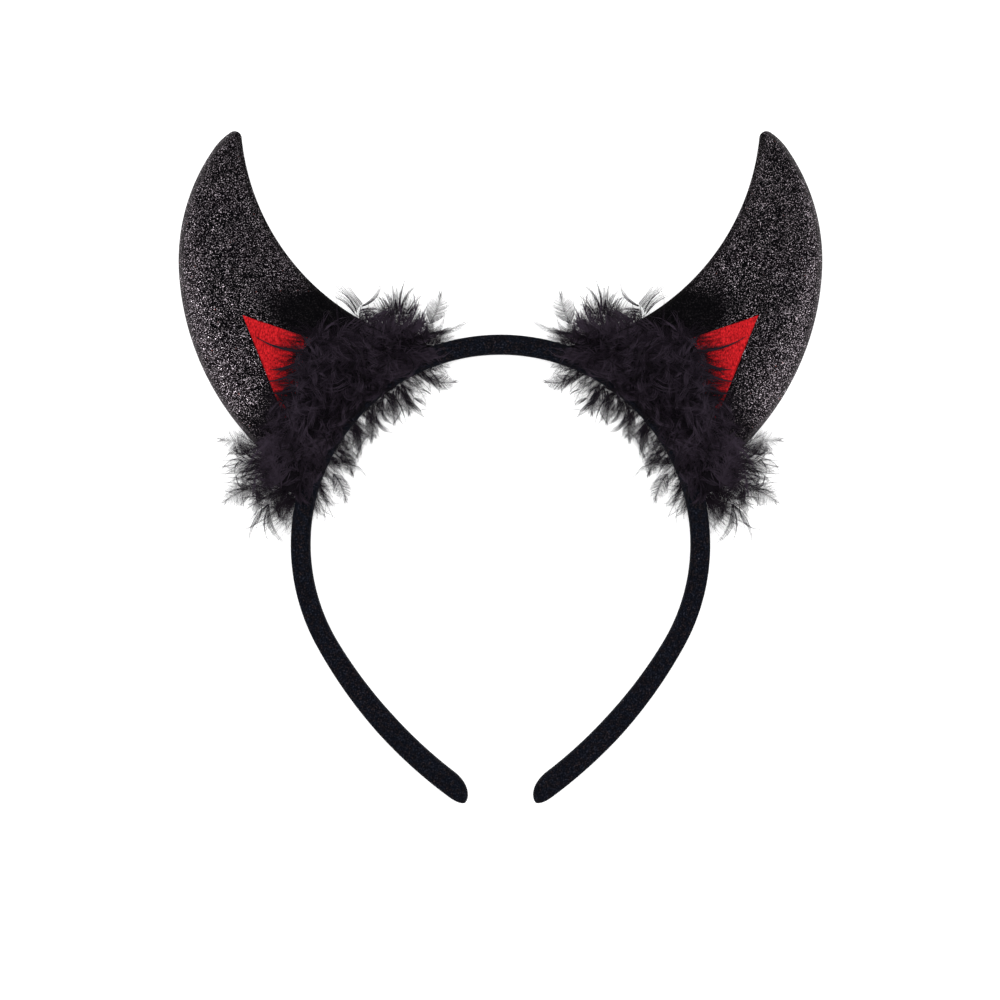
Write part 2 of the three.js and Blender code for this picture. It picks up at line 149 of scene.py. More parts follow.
@dataclass
class Shape:
    """Points and faces of one mesh, in millimetres.

    Each row of faces holds the corner numbers of a face, and a triangle's row ends in -1.
    """

    points: Array
    faces: Array
    marks: dict[str, Array] = field(default_factory=dict)

    @staticmethod
    def joined(shapes: list["Shape"]) -> "Shape":
        """One shape from several that carry the same marks.

        Args:
            shapes: the shapes, in order.

        Returns:
            The shapes' points, faces and marks, one after the other.
        """
        starts = np.cumsum([0] + [len(shape.points) for shape in shapes[:-1]])
        faces = [np.where(shape.faces < 0, -1, shape.faces + start) for shape, start in zip(shapes, starts)]
        marks = {name: np.concatenate([shape.marks[name] for shape in shapes]) for name in shapes[0].marks}
        return Shape(np.concatenate([shape.points for shape in shapes]), np.concatenate(faces), marks)

    def on(self, side: Side) -> "Shape":
        """The shape for one half of the headband.

        Args:
            side: which half.

        Returns:
            The shape itself on the left, and its mirror image on the right.
        """
        if side is Side.LEFT:
            return self
        has_four = (self.faces >= 0).all(axis=1, keepdims=True)
        order = np.where(has_four, np.array([[3, 2, 1, 0]]), np.array([[2, 1, 0, 3]]))
        return Shape(self.points * MIRROR, np.take_along_axis(self.faces, order, axis=1), self.marks)

    def piece(self, name: str, finish: "Finish", slot: str) -> bpy.types.Object:
        """Makes the shape a piece of the headband.

        Args:
            name: the piece's name.
            finish: what its surface is.
            slot: not used.

        Returns:
            The new object, riding on the headband's one body.
        """
        mesh = bpy.data.meshes.new(name)
        used = self.faces >= 0
        corners = self.faces[used]
        counts = used.sum(axis=1)
        mesh.vertices.add(len(self.points))
        mesh.vertices.foreach_set("co", (self.points * MM).astype(np.float32).ravel())
        mesh.loops.add(len(corners))
        mesh.loops.foreach_set("vertex_index", corners.astype(np.int32))
        mesh.polygons.add(len(counts))
        mesh.polygons.foreach_set("loop_start", (np.cumsum(counts) - counts).astype(np.int32))
        mesh.update(calc_edges=True)
        mesh.validate()
        mesh.polygons.foreach_set("use_smooth", np.ones(len(mesh.polygons), dtype=bool))
        for mark, values in self.marks.items():
            layer = mesh.attributes.new(mark, "FLOAT", "POINT")
            layer.data.foreach_set("value", values.astype(np.float32))
        mesh.materials.append(finish.material())
        piece = bpy.data.objects.new(name, mesh)
        bpy.context.scene.collection.objects.link(piece)
        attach(piece, BODY)
        return piece


def skin(rings: Array, start: Array | None = None, end: Array | None = None) -> Shape:
    """A skin over closed rings, with a pole at each end that has one.

    Args:
        rings: points by ring and place round the ring, counter-clockwise seen from the last ring.
        start: the pole that closes the first ring, or None to leave it open.
        end: the pole that closes the last ring, or None to leave it open.

    Returns:
        The skin, with its points ring by ring and the poles last.
    """
    ring_count, round_count, _ = rings.shape
    numbers = np.arange(ring_count * round_count).reshape(ring_count, round_count)
    ahead = np.roll(numbers, -1, axis=1)
    faces = [np.stack([numbers[:-1], ahead[:-1], ahead[1:], numbers[1:]], axis=-1).reshape(-1, 4)]
    points = [rings.reshape(-1, 3)]
    none = np.full(round_count, -1)
    for pole, ring, turned in ((start, 0, True), (end, -1, False)):
        if pole is None:
            continue
        number = np.full(round_count, sum(len(group) for group in points))
        points.append(np.asarray(pole, dtype=float).reshape(1, 3))
        first, second = (ahead[ring], numbers[ring]) if turned else (numbers[ring], ahead[ring])
        faces.append(np.stack([first, second, number, none], axis=-1))
    return Shape(np.concatenate(points), np.concatenate(faces))


def spikes(centres: Array, radii: Array) -> Shape:
    """Thin three-sided closed spikes, one for each row of centre-line points.

    Args:
        centres: points by spike and place along it, the last one its tip.
        radii: half widths by spike and place along it, without the tip.

    Returns:
        All the spikes, each with its own corners.
    """
    count, places, _ = centres.shape
    rings, sides = places - 1, len(SPIKE_CORNERS)
    along = unit(centres[:, -1] - centres[:, 0])
    across = unit(np.cross(UP, along) + UPRIGHT_NUDGE)
    over = np.cross(along, across)
    turns = np.radians(SPIKE_CORNERS)[None, :, None]
    spokes = np.cos(turns) * across[:, None] + np.sin(turns) * over[:, None]
    ring_points = centres[:, :-1, None, :] + radii[:, :, None, None] * spokes[:, None]
    points = np.concatenate([ring_points.reshape(count, rings * sides, 3), centres[:, -1:]], axis=1)
    pattern = [(0, 2, 1, -1)]
    for ring in range(rings - 1):
        for corner in range(sides):
            here, ahead = ring * sides + corner, ring * sides + (corner + 1) % sides
            pattern.append((here, ahead, ahead + sides, here + sides))
    last, tip = (rings - 1) * sides, rings * sides
    pattern += [(last + corner, last + (corner + 1) % sides, tip, -1) for corner in range(sides)]
    steps = np.arange(count)[:, None, None] * (tip + 1)
    faces = np.where(np.array(pattern)[None] < 0, -1, np.array(pattern)[None] + steps)
    return Shape(points.reshape(-1, 3), faces.reshape(-1, 4))


class ShaderTree:
    """A material's node tree, with short calls for the nodes that the finishes use."""

    MIX_SHARE = 0
    MIX_FIRST = 6
    MIX_SECOND = 7
    MIX_RESULT = 2

    def __init__(self, name: str) -> None:
        """Starts a material with one surface shader.

        Args:
            name: the material's name.
        """
        self.material = bpy.data.materials.new(name)
        self.material.use_nodes = True
        self.tree = self.material.node_tree
        self.surface = self.tree.nodes["Principled BSDF"]

    def add(
        self, kind: str, inputs: dict[str | int, object] | None = None, **settings: object
    ) -> bpy.types.Node:
        """Adds a node.

        Args:
            kind: the node's type without the leading ShaderNode.
            inputs: a value or a source socket for each input that is set, by the input's name or number.
            settings: the node's own settings.

        Returns:
            The new node.
        """
        node = self.tree.nodes.new("ShaderNode" + kind)
        for name, value in settings.items():
            setattr(node, name, value)
        for name, value in (inputs or {}).items():
            self.feed(node.inputs[name], value)
        return node

    def feed(self, socket: Socket, value: object) -> None:
        """Links a source socket to an input, or sets the input's own value.

        Args:
            socket: the input.
            value: a source socket or a value.
        """
        if isinstance(value, Socket):
            self.tree.links.new(value, socket)
        else:
            socket.default_value = value

    def set(self, **values: object) -> None:
        """Feeds the surface shader's inputs.

        Args:
            values: a value or a source socket for each input, named with _ for each space.
        """
        titles = {socket.name.lower().replace(" ", "_"): socket for socket in self.surface.inputs}
        for name, value in values.items():
            self.feed(titles[name], value)

    def place(self) -> Socket:
        """Places on the object, in metres."""
        return self.add("TexCoord").outputs["Object"]

    def mark(self, name: str) -> Socket:
        """A mark that the mesh carries on its points."""
        return self.add("Attribute", attribute_name=name).outputs["Fac"]

    def math(self, operation: str, first: object, second: object) -> Socket:
        """A sum, product or other operation of two numbers."""
        return self.add("Math", {0: first, 1: second}, operation=operation).outputs[0]

    def vector(self, operation: str, inputs: dict[str | int, object]) -> Socket:
        """A sum, scaling or other operation of vectors."""
        return self.add("VectorMath", inputs, operation=operation).outputs["Vector"]

    def cells(self, size: float) -> tuple[bpy.types.Node, bpy.types.Node]:
        """Cells of a size in millimetres, and the three chance numbers of each."""
        cells = self.add("TexVoronoi", {"Vector": self.place(), "Scale": 1.0 / (size * MM)})
        return cells, self.add("SeparateColor", {"Color": cells.outputs["Color"]})

    def noise(self, grain: float, detail: float = 2.0, stretch: Triple | None = None) -> Socket:
        """Cloudy noise.

        Args:
            grain: the size of its clouds in millimetres.
            detail: how many finer layers it has.
            stretch: a scale for each axis, or None.

        Returns:
            The noise, around 0.5.
        """
        place = self.place()
        if stretch is not None:
            place = self.add("Mapping", {"Vector": place, "Scale": stretch}).outputs["Vector"]
        inputs = {"Vector": place, "Scale": 1.0 / (grain * MM), "Detail": detail}
        return self.add("TexNoise", inputs).outputs["Fac"]

    def ramp(self, value: Socket, stops: Stops) -> Socket:
        """A colour for each value.

        Args:
            value: the values.
            stops: values and their colours.

        Returns:
            The colours, which between stops are mixed.
        """
        node = self.add("ValToRGB", {"Fac": value})
        elements = node.color_ramp.elements
        while len(elements) < len(stops):
            elements.new(1.0)
        for element, (place, colour) in zip(elements, stops):
            element.position = place
            element.color = (*colour, 1.0)
        return node.outputs["Color"]

    def spread(self, value: Socket, source: Range, target: Range) -> Socket:
        """A value of the source range, moved to the target range and held inside it."""
        ends = {"From Min": source[0], "From Max": source[1], "To Min": target[0], "To Max": target[1]}
        return self.add("MapRange", {"Value": value, **ends}).outputs["Result"]

    def mix(self, share: object, first: object, second: object) -> Socket:
        """A colour between two colours.

        Args:
            share: how much of the second colour it has.
            first: a source socket or a plain colour.
            second: the same.

        Returns:
            The mixed colour.
        """
        first, second = (
            colour if isinstance(colour, Socket) else (*colour, 1.0) for colour in (first, second)
        )
        inputs = {self.MIX_SHARE: share, self.MIX_FIRST: first, self.MIX_SECOND: second}
        return self.add("Mix", inputs, data_type="RGBA").outputs[self.MIX_RESULT]

    def bump(self, height: Socket, depth: float) -> Socket:
        """A normal bent by a height, with its depth in millimetres."""
        inputs = {"Height": height, "Distance": depth * MM, "Strength": 1.0}
        return self.add("Bump", inputs).outputs["Normal"]


@dataclass(frozen=True)
class Finish:
    """What a surface is made of. Each finish becomes one material."""

    name: str

    def material(self) -> bpy.types.Material:
        """The finish's material.

        Returns:
            The material, made on its first use.
        """
        found = bpy.data.materials.get(self.name)
        if found is not None:
            return found
        shader = ShaderTree(self.name)
        self.dress(shader)
        return shader.material

    def dress(self, shader: ShaderTree) -> None:
        """Builds the finish's nodes."""
        raise NotImplementedError


@dataclass(frozen=True)
class Velvet(Finish):
    """Short black pile, here bluer and there browner, with a few specks of lint and a faint edge sheen.

    Sizes are in millimetres: the grain of the pile's nap and its depth, the specks, the bluer and browner
    patches and the spacing of the lint, of which a share of the places has a dot.
    """

    pile: float = 0.35
    nap_depth: float = 0.12
    speck: float = 0.45
    patch: float = 1.3
    patch_edge: Range = (0.42, 0.58)
    cool: Stops = (
        (0.30, (0.0013, 0.0019, 0.0036)),
        (0.50, (0.0030, 0.0038, 0.0064)),
        (0.63, (0.0075, 0.0086, 0.0132)),
        (0.76, (0.0190, 0.0205, 0.0290)),
    )
    warm: Stops = (
        (0.30, (0.0014, 0.0017, 0.0028)),
        (0.50, (0.0032, 0.0033, 0.0048)),
        (0.63, (0.0095, 0.0076, 0.0088)),
        (0.76, (0.0300, 0.0200, 0.0200)),
    )
    lint_spacing: float = 2.2
    lint_share: float = 0.06
    lint_edge: Range = (0.08, 0.16)
    lint_colour: Colour = (0.085, 0.080, 0.095)
    sheen: Colour = (0.55, 0.6, 0.75)

    def dress(self, shader: ShaderTree) -> None:
        """Builds the pile's speckled colour, its lint, its nap and its sheen.

        Args:
            shader: the material's nodes.
        """
        specks = shader.noise(self.speck, detail=1.0)
        patches = shader.spread(shader.noise(self.patch), self.patch_edge, RISE)
        pile = shader.mix(patches, shader.ramp(specks, self.cool), shader.ramp(specks, self.warm))
        cells, chance = shader.cells(self.lint_spacing)
        chosen = shader.math("LESS_THAN", chance.outputs["Red"], self.lint_share)
        dot = shader.spread(cells.outputs["Distance"], self.lint_edge, FALL)
        colour = shader.mix(shader.math("MULTIPLY", chosen, dot), pile, self.lint_colour)
        nap = shader.bump(shader.noise(self.pile, detail=3.0), self.nap_depth)
        shader.set(base_color=colour, normal=nap, roughness=1.0, specular_ior_level=0.02)
        shader.set(sheen_weight=0.02, sheen_roughness=0.4, sheen_tint=(*self.sheen, 1.0))


@dataclass(frozen=True)
class Glitter(Finish):
    """Black cloth set with fine flakes that lie at many angles, and a bare sewn rim.

    The mesh marks where the rim is, how pale it is, which is a painted highlight, and how thickly the flakes
    lie, which carries painted light and shade, as rim, rim_tone and sparkle. Flakes
    show where cloudy noise passes flake_edge. Drifts are where they lie thicker or thinner, and dust is the
    finer glitter between them, which comes in where they lie thickly. Each edge is a range of noise, chance
    or thickness over which a share comes in. Sizes are in millimetres.
    """

    flake: float = 0.32
    flake_edge: Range = (0.578, 0.635)
    flake_tone: Range = (0.08, 1.0)
    flake_hues: Stops = (
        (0.0, (0.70, 0.595, 0.655)),
        (0.90, (0.72, 0.63, 0.70)),
        (0.9992, (0.74, 0.62, 0.66)),
        (0.9996, (0.70, 0.10, 0.04)),
    )
    spark_edge: Range = (0.88, 0.95)
    spark_colour: Colour = (0.95, 0.88, 0.92)
    drift: float = 2.4
    drift_edge: Range = (0.32, 0.68)
    drift_share: Range = (0.6, 1.25)
    ground: Colour = (0.0012, 0.0011, 0.0015)
    dust: float = 0.3
    dust_edge: Range = (0.42, 0.72)
    dust_share: Range = (0.0, 0.3)
    thick_edge: Range = (0.9, 1.8)
    thick_share: Range = (0.0, 0.9)
    dust_colour: Colour = (0.13, 0.108, 0.12)
    rim_grain: float = 0.5
    rim_hues: Stops = ((0.05, (0.0025, 0.0023, 0.0026)), (0.65, (0.050, 0.046, 0.048)))
    no_tilt: Triple = (0.5, 0.5, 0.5)
    tilt: float = 0.8
    metal: float = 0.6
    gloss_edge: Range = (0.0, 0.4)
    roughness: Range = (0.85, 0.35)

    def dress(self, shader: ShaderTree) -> None:
        """Builds the flakes, each with a tone and a tilt of its own, over the ground and the rim, with
        painted glints among them.

        Args:
            shader: the material's nodes.
        """
        cells, chance = shader.cells(self.flake)
        face = shader.spread(shader.noise(self.flake), self.flake_edge, RISE)
        tone = shader.spread(chance.outputs["Red"], RISE, self.flake_tone)
        drifts = shader.spread(shader.noise(self.drift), self.drift_edge, self.drift_share)
        # The flake cover carries painted light and shade, and the flakes, their gloss and the dust follow
        # it.
        cover_and_light = shader.math("MULTIPLY", shader.mark("sparkle"), drifts)
        shown = shader.math("MULTIPLY", shader.math("MULTIPLY", face, tone), cover_and_light)
        # Painted glints: a few flakes are painted near white.
        painted_glints = shader.spread(chance.outputs["Blue"], self.spark_edge, RISE)
        flakes = shader.mix(painted_glints, shader.ramp(chance.outputs["Green"], self.flake_hues), self.spark_colour)
        dust = shader.spread(shader.noise(self.dust, detail=1.0), self.dust_edge, self.dust_share)
        dusted = shader.math("MULTIPLY", dust, shader.spread(cover_and_light, self.thick_edge, self.thick_share))
        cloth = shader.mix(dusted, self.ground, self.dust_colour)
        # The rim's painted highlight makes its grain paler along the outer edge.
        grain = shader.math("MULTIPLY", shader.noise(self.rim_grain), shader.mark("rim_tone"))
        ground = shader.mix(shader.mark("rim"), cloth, shader.ramp(grain, self.rim_hues))
        lean = shader.vector("SUBTRACT", {0: cells.outputs["Color"], 1: self.no_tilt})
        tilt = shader.vector("SCALE", {0: lean, "Scale": shader.math("MULTIPLY", shown, self.tilt)})
        tilted = shader.vector("ADD", {0: tilt, 1: shader.add("NewGeometry").outputs["Normal"]})
        shader.set(base_color=shader.mix(shown, ground, flakes), specular_ior_level=0.015)
        shader.set(normal=shader.vector("NORMALIZE", {0: tilted}))
        shader.set(roughness=shader.spread(shown, self.gloss_edge, self.roughness))
        shader.set(metallic=shader.math("MULTIPLY", shown, self.metal))


@dataclass(frozen=True)
class Felt(Finish):
    """Red felt: matted short fibres whose colour follows their grain, a little darker between them, which is
    painted shade. Sizes are in millimetres.
    """

    fibre: float = 0.34
    stretch: Triple = (1.0, 0.45, 1.0)
    nap_depth: float = 0.25
    hues: Stops = (
        (0.30, (0.11, 0.002, 0.004)),
        (0.47, (0.33, 0.007, 0.010)),
        (0.66, (0.56, 0.015, 0.019)),
    )
    sheen: Colour = (1.0, 0.2, 0.2)

    def dress(self, shader: ShaderTree) -> None:
        """Builds the matted fibres' colour and nap.

        Args:
            shader: the material's nodes.
        """
        fibres = shader.noise(self.fibre, detail=4.0, stretch=self.stretch)
        # The same noise gives the nap and the colour, so the low places between fibres are darker: painted
        # shade.
        shader.set(base_color=shader.ramp(fibres, self.hues), normal=shader.bump(fibres, self.nap_depth))
        shader.set(roughness=0.95, specular_ior_level=0.03)
        shader.set(sheen_weight=0.01, sheen_roughness=0.6, sheen_tint=(*self.sheen, 1.0))


@dataclass(frozen=True)
class Down(Finish):
    """Dyed marabou down. The mesh marks how light each barb is, as tone."""

    hues: Stops = (
        (0.0, (0.0024, 0.0017, 0.0028)),
        (0.5, (0.0160, 0.0113, 0.0180)),
        (1.0, (0.0510, 0.0385, 0.0560)),
    )
    sheen: tuple[float, ...] = (0.9, 0.8, 0.88, 1.0)

    def dress(self, shader: ShaderTree) -> None:
        """Builds the barbs' colour, from black to a purple grey by their tone, and their faint sheen."""
        shader.set(base_color=shader.ramp(shader.mark("tone"), self.hues), roughness=0.7)
        shader.set(specular_ior_level=0.03, sheen_weight=0.01, sheen_roughness=0.4, sheen_tint=self.sheen)


@dataclass(frozen=True)
class Paper(Finish):
    """The matt white floor of a studio, lit a little from below."""

    tone: Colour = (0.92, 0.92, 0.92)
    glow: float = 0.35

    def dress(self, shader: ShaderTree) -> None:
        """Sets the floor's one tone and its glow."""
        shader.set(base_color=(*self.tone, 1.0), roughness=1.0, specular_ior_level=0.0)
        shader.set(emission_color=(1.0, 1.0, 1.0, 1.0), emission_strength=self.glow)


VELVET = Velvet("velvet_pile")
GLITTER = Glitter("glitter_cloth")
FELT = Felt("felt_nap")
DOWN = Down("marabou_down")
PAPER = Paper("paper_floor")


@dataclass
class Band:
    """The hair band: a strip bent into an arch with two longer, flatter legs that end in round tips."""

    mid_radius: float = 57.8
    arch_sweep: float = 120.0
    leg_radius: float = 135.0
    leg_length: float = 60.8
    depth: float = 10.0
    corner: float = 2.0
    corner_share: float = 0.6
    thickness_from_crown: tuple[float, ...] = (0.0, 75.0, 121.0, 150.0, 182.0)
    thickness: tuple[float, ...] = (5.7, 5.5, 5.7, 6.5, 6.6)
    apex_shift: float = 1.8
    inner_round: float = 7.8
    outer_round: float = 4.5
    depth_round: float = 5.0
    steps: int = 240
    tip_steps: int = 16
    corner_points: int = 8

    @property
    def arch_length(self) -> float:
        """The mid-line's length from the crown to where a leg starts."""
        return self.mid_radius * math.radians(self.arch_sweep)

    @property
    def half_length(self) -> float:
        """The mid-line's length from the crown to a tip."""
        return self.arch_length + self.leg_length

    def mid_line(self, distance: Array) -> tuple[Array, Array]:
        """The strip's mid-line.

        Args:
            distance: lengths from the crown, negative on the left.

        Returns:
            Plan points, and the outward direction at each.
        """
        side = np.sign(distance)
        along = np.abs(distance)
        sweep = math.radians(self.arch_sweep)
        on_leg = along > self.arch_length
        leg_angle = sweep + (along - self.arch_length) / self.leg_radius
        angle = np.where(on_leg, leg_angle, along / self.mid_radius)
        outward = np.stack([side * np.sin(angle), np.cos(angle)], axis=-1)
        towards_leg = np.stack([side * math.sin(sweep), np.full_like(side, math.cos(sweep))], axis=-1)
        shift = np.where(on_leg, self.mid_radius - self.leg_radius, 0.0)[:, None] * towards_leg
        radius = np.where(on_leg, self.leg_radius, self.mid_radius)[:, None]
        return ARCH_CENTRE + shift + outward * radius, outward

    def rings(self, distance: Array) -> Array:
        """Rounded rectangles across the strip.

        Args:
            distance: lengths from the crown, negative on the left.

        Returns:
            Points by length and place round the strip.
        """
        centre, outward = self.mid_line(distance)
        along = np.abs(distance)
        to_end = np.maximum(self.half_length - along, 0.0)

        def open_share(length: float) -> Array:
            """How far the round end has opened, from 0 at the tip to 1."""
            return np.sqrt(1.0 - (1.0 - np.minimum(to_end / length, 1.0)) ** 2)

        half = np.interp(along, self.thickness_from_crown, self.thickness) / 2
        inner = self.apex_shift - (half + self.apex_shift) * open_share(self.inner_round)
        outer = self.apex_shift + (half - self.apex_shift) * open_share(self.outer_round)
        height_half = self.depth / 2 * open_share(self.depth_round)
        middle, radial_half = (inner + outer) / 2, (outer - inner) / 2
        corner = np.minimum(self.corner, self.corner_share * np.minimum(radial_half, height_half))
        radial, height = [], []
        for quarter in range(4):
            right = 1.0 if quarter in (0, 3) else -1.0
            up = 1.0 if quarter < 2 else -1.0
            for turn in np.linspace(quarter, quarter + 1, self.corner_points) * math.pi / 2:
                radial.append(middle + right * (radial_half - corner) + corner * math.cos(turn))
                height.append(self.depth / 2 + up * (height_half - corner) + corner * math.sin(turn))
        plan = centre[:, None] + outward[:, None] * np.stack(radial, axis=1)[..., None]
        return lifted(plan, np.stack(height, axis=1))

    def build(self) -> bpy.types.Object:
        """Makes the band in place of its solid.

        Returns:
            The band.
        """
        tip_start = self.half_length - self.inner_round
        body = np.linspace(-tip_start, tip_start, self.steps + 1)
        turns = np.linspace(0.0, math.pi / 2, self.tip_steps)[1:-1]
        tip = tip_start + self.inner_round * np.sin(turns)
        rings = self.rings(np.concatenate([-tip[::-1], body, tip]))
        ends = self.rings(np.array([-self.half_length, self.half_length]))[:, 0]
        band = skin(rings, ends[0], ends[1]).piece("velvet_band", VELVET, "velvet")
        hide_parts("band")
        return band


@dataclass(frozen=True)
class Arc:
    """One stretch of the horn's edge: a radius, and a sweep in degrees that is negative for a right turn."""

    radius: float
    sweep: float

    @property
    def length(self) -> float:
        """The arc's length."""
        return self.radius * math.radians(abs(self.sweep))


@dataclass
class HornForm:
    """The padded horn's outline and swell.

    A place on the horn is given by its share along, from foot to tip, and its share across, from the outer
    to the inner edge.
    """

    foot_angle: float = 72.46
    foot_heading: float = 146.8
    foot_radius: float = 61.07
    seat_radius: float = 60.68
    edge: tuple[Arc, ...] = (
        Arc(77.3, -54.2), Arc(56.4, -38.0), Arc(17.2, -21.8), Arc(2.06, -117.3), Arc(67.5, 74.3),
    )
    tip_arc: int = 3
    mid_height: float = 5.0
    rim_width: float = 1.3
    rim_half: float = 0.8
    groove: float = 0.3
    groove_share: Range = (0.55, 1.0)
    crown: float = 5.4
    crown_width: float = 12.0
    foot_fullness: float = 0.75
    foot_reach: float = 0.4
    foot_fade: float = 3.0
    narrow: float = 4.0
    pucker_depth: float = 0.16
    pucker_spacing: float = 4.2
    pucker_reach: float = 2.2
    pucker_start: float = 0.8
    pucker_drift: float = 1.7
    pucker_drift_rate: float = 0.41
    least: float = 1e-6

    def __post_init__(self) -> None:
        """Walks the edge once, to find each arc's centre and start."""
        self.walked = []
        point = around_arch(self.foot_radius, self.foot_angle)
        turned = self.foot_heading
        for arc in self.edge:
            start = math.radians(turned - math.copysign(90.0, arc.sweep))
            centre = point - arc.radius * heading(start)
            self.walked.append((arc, centre, start))
            turned += arc.sweep
            point = centre + arc.radius * heading(start + math.radians(arc.sweep))
        lengths = [arc.length for arc in self.edge]
        self.outer_length = sum(lengths[: self.tip_arc]) + lengths[self.tip_arc] / 2
        self.inner_length = sum(lengths) - self.outer_length
        self.inner_foot_angle = float(arch_angle(point - ARCH_CENTRE))

    def edge_point(self, length: Array) -> Array:
        """Plan points of the edge.

        Args:
            length: lengths along the edge from the outer foot.

        Returns:
            The points. Lengths past an end run on along its arc.
        """
        found = np.zeros((*np.shape(length), 2))
        done = 0.0
        for number, (arc, centre, start) in enumerate(self.walked):
            first, last = number == 0, number == len(self.walked) - 1
            angle = start + math.copysign(1.0, arc.sweep) * (length - done) / arc.radius
            here = (length >= done) & ((length <= done + arc.length) | last) | first
            found = np.where(here[..., None], centre + arc.radius * heading(angle), found)
            done += arc.length
        return found

    def edges(self, along: Array) -> tuple[Array, Array]:
        """Plan points of the outer and the inner edge at shares along the horn."""
        outer = self.edge_point(self.outer_length * along)
        return outer, self.edge_point(self.outer_length + self.inner_length * (1.0 - along))

    def width(self, along: Array) -> Array:
        """The horn's width at shares along it."""
        outer, inner = self.edges(along)
        return np.linalg.norm(outer - inner, axis=-1)

    def plan(self, along: Array, across: Array) -> Array:
        """Plan points of the horn. The foot follows the band, and that fades out along the horn.

        Args:
            along: shares along.
            across: shares across.

        Returns:
            The points.
        """
        outer, inner = self.edges(along)
        seat = around_arch(np.array(self.seat_radius), lerp(self.foot_angle, self.inner_foot_angle, across))
        feet = self.edge_point(np.array([0.0, self.outer_length + self.inner_length]))
        chord = lerp(feet[0], feet[1], across[..., None])
        fade = np.maximum(1.0 - along, 0.0) ** self.foot_fade
        return lerp(outer, inner, across[..., None]) + fade[..., None] * (seat - chord)

    def swell(self, along: Array, across: Array) -> Array:
        """Half the padding's thickness: a rounded rim, the groove of its seam, then the crown.

        Args:
            along: shares along.
            across: shares across.

        Returns:
            Half thicknesses.
        """
        width = self.width(along)
        size = np.clip(width / self.narrow, self.least, 1.0)
        rim, rim_half = self.rim_width * size, self.rim_half * size
        from_edge = np.minimum(across, 1.0 - across) * width
        from_rim = from_edge - rim
        inside = np.clip(from_rim / np.maximum(width - 2 * rim, self.least), 0.0, 0.5)
        foot = lerp(self.foot_fullness, 1.0, smoothstep(0.0, self.foot_reach, along))
        crown = self.crown * (1.0 - np.exp(-width / self.crown_width)) * foot
        lip = np.sqrt(np.clip(1.0 - (1.0 - np.minimum(from_edge / rim_half, 1.0)) ** 2, 0.0, 1.0))
        dip = self.groove * size * smoothstep(*self.groove_share, from_edge / rim)
        seam = rim_half * lip - dip
        run = along * np.where(across < 0.5, self.outer_length, self.inner_length)
        drift = self.pucker_drift * np.sin(run * self.pucker_drift_rate)
        gathers = np.sin(run * (FULL_TURN / self.pucker_spacing) + drift)
        near_rim = np.exp(-np.maximum(from_rim, 0.0) / self.pucker_reach)
        near_rim = near_rim * smoothstep(0.0, self.pucker_start, from_rim)
        dome = crown * np.sqrt(np.sin(math.pi * inside))
        return seam + dome + self.pucker_depth * size * gathers * near_rim

    def shares(
        self, target: Array, rounds: int = 10, probe: float = 1e-3, start: Range = (0.25, 0.5)
    ) -> tuple[Array, Array]:
        """The shares along and across of plan points, by steps towards them.

        Args:
            target: plan points.
            rounds: how many steps.
            probe: the small share that slopes are taken over.
            start: the shares along and across that the steps set out from.

        Returns:
            Shares along and shares across.
        """
        along, across = (np.full(target.shape[:-1], share) for share in start)
        for _ in range(rounds):
            here = self.plan(along, across)
            run = (self.plan(along + probe, across) - here) / probe
            rise = (self.plan(along, across + probe) - here) / probe
            miss = target - here
            area = run[..., 0] * rise[..., 1] - run[..., 1] * rise[..., 0]
            along = along + (miss[..., 0] * rise[..., 1] - miss[..., 1] * rise[..., 0]) / area
            across = across + (run[..., 0] * miss[..., 1] - run[..., 1] * miss[..., 0]) / area
        return along, across


@dataclass(frozen=True)
class Sparkle:
    """How thickly flakes lie on a horn, with painted light and shade: thick on the lit outer belly, thin by
    the shaded inner foot and near the tip.

    A range with along or across in its name gives the shares over which a change comes in. The hollow is
    a thinner stripe of painted shade, with its middle and its width as shares across.
    """

    belly: Range = (1.95, 1.05)
    belly_along: Range = (0.4, 0.95)
    inside: float = 0.62
    inside_across: Range = (0.05, 0.30)
    hollow: float = 0.12
    hollow_across: float = 0.55
    hollow_width: float = 0.16
    inner_edge: float = 0.12
    inner_across: Range = (0.7, 0.9)
    inner_along: Range = (0.35, 0.6)
    inner_foot: float = 0.9
    inner_foot_across: Range = (0.50, 0.76)
    inner_foot_along: Range = (0.33, 0.53)
    foot: float = 0.2
    foot_along: Range = (0.15, 0.27)
    limits: Range = (0.03, 1.7)

    def at(self, along: Array, across: Array) -> Array:
        """How thickly the flakes lie at places on the horn, with painted light and shade in it.

        Args:
            along: shares along.
            across: shares across.

        Returns:
            1 for a common cover, more where it is thicker.
        """
        belly = lerp(*self.belly, smoothstep(*self.belly_along, along))
        outer = lerp(belly, self.inside, smoothstep(*self.inside_across, across))
        hollow = self.hollow * np.exp(-(((across - self.hollow_across) / self.hollow_width) ** 2))
        inner = self.inner_edge * smoothstep(*self.inner_across, across)
        inner = inner * smoothstep(*self.inner_along, along)
        by_foot = smoothstep(*self.inner_foot_across, across)
        by_foot = by_foot * (1.0 - smoothstep(*self.inner_foot_along, along))
        foot = lerp(self.foot, 1.0, smoothstep(*self.foot_along, along))
        # Painted light and shade: thicker on the lit outer belly, thinner in the shaded hollow and by the
        # inner foot.
        return np.clip((outer - hollow + inner - self.inner_foot * by_foot) * foot, *self.limits)


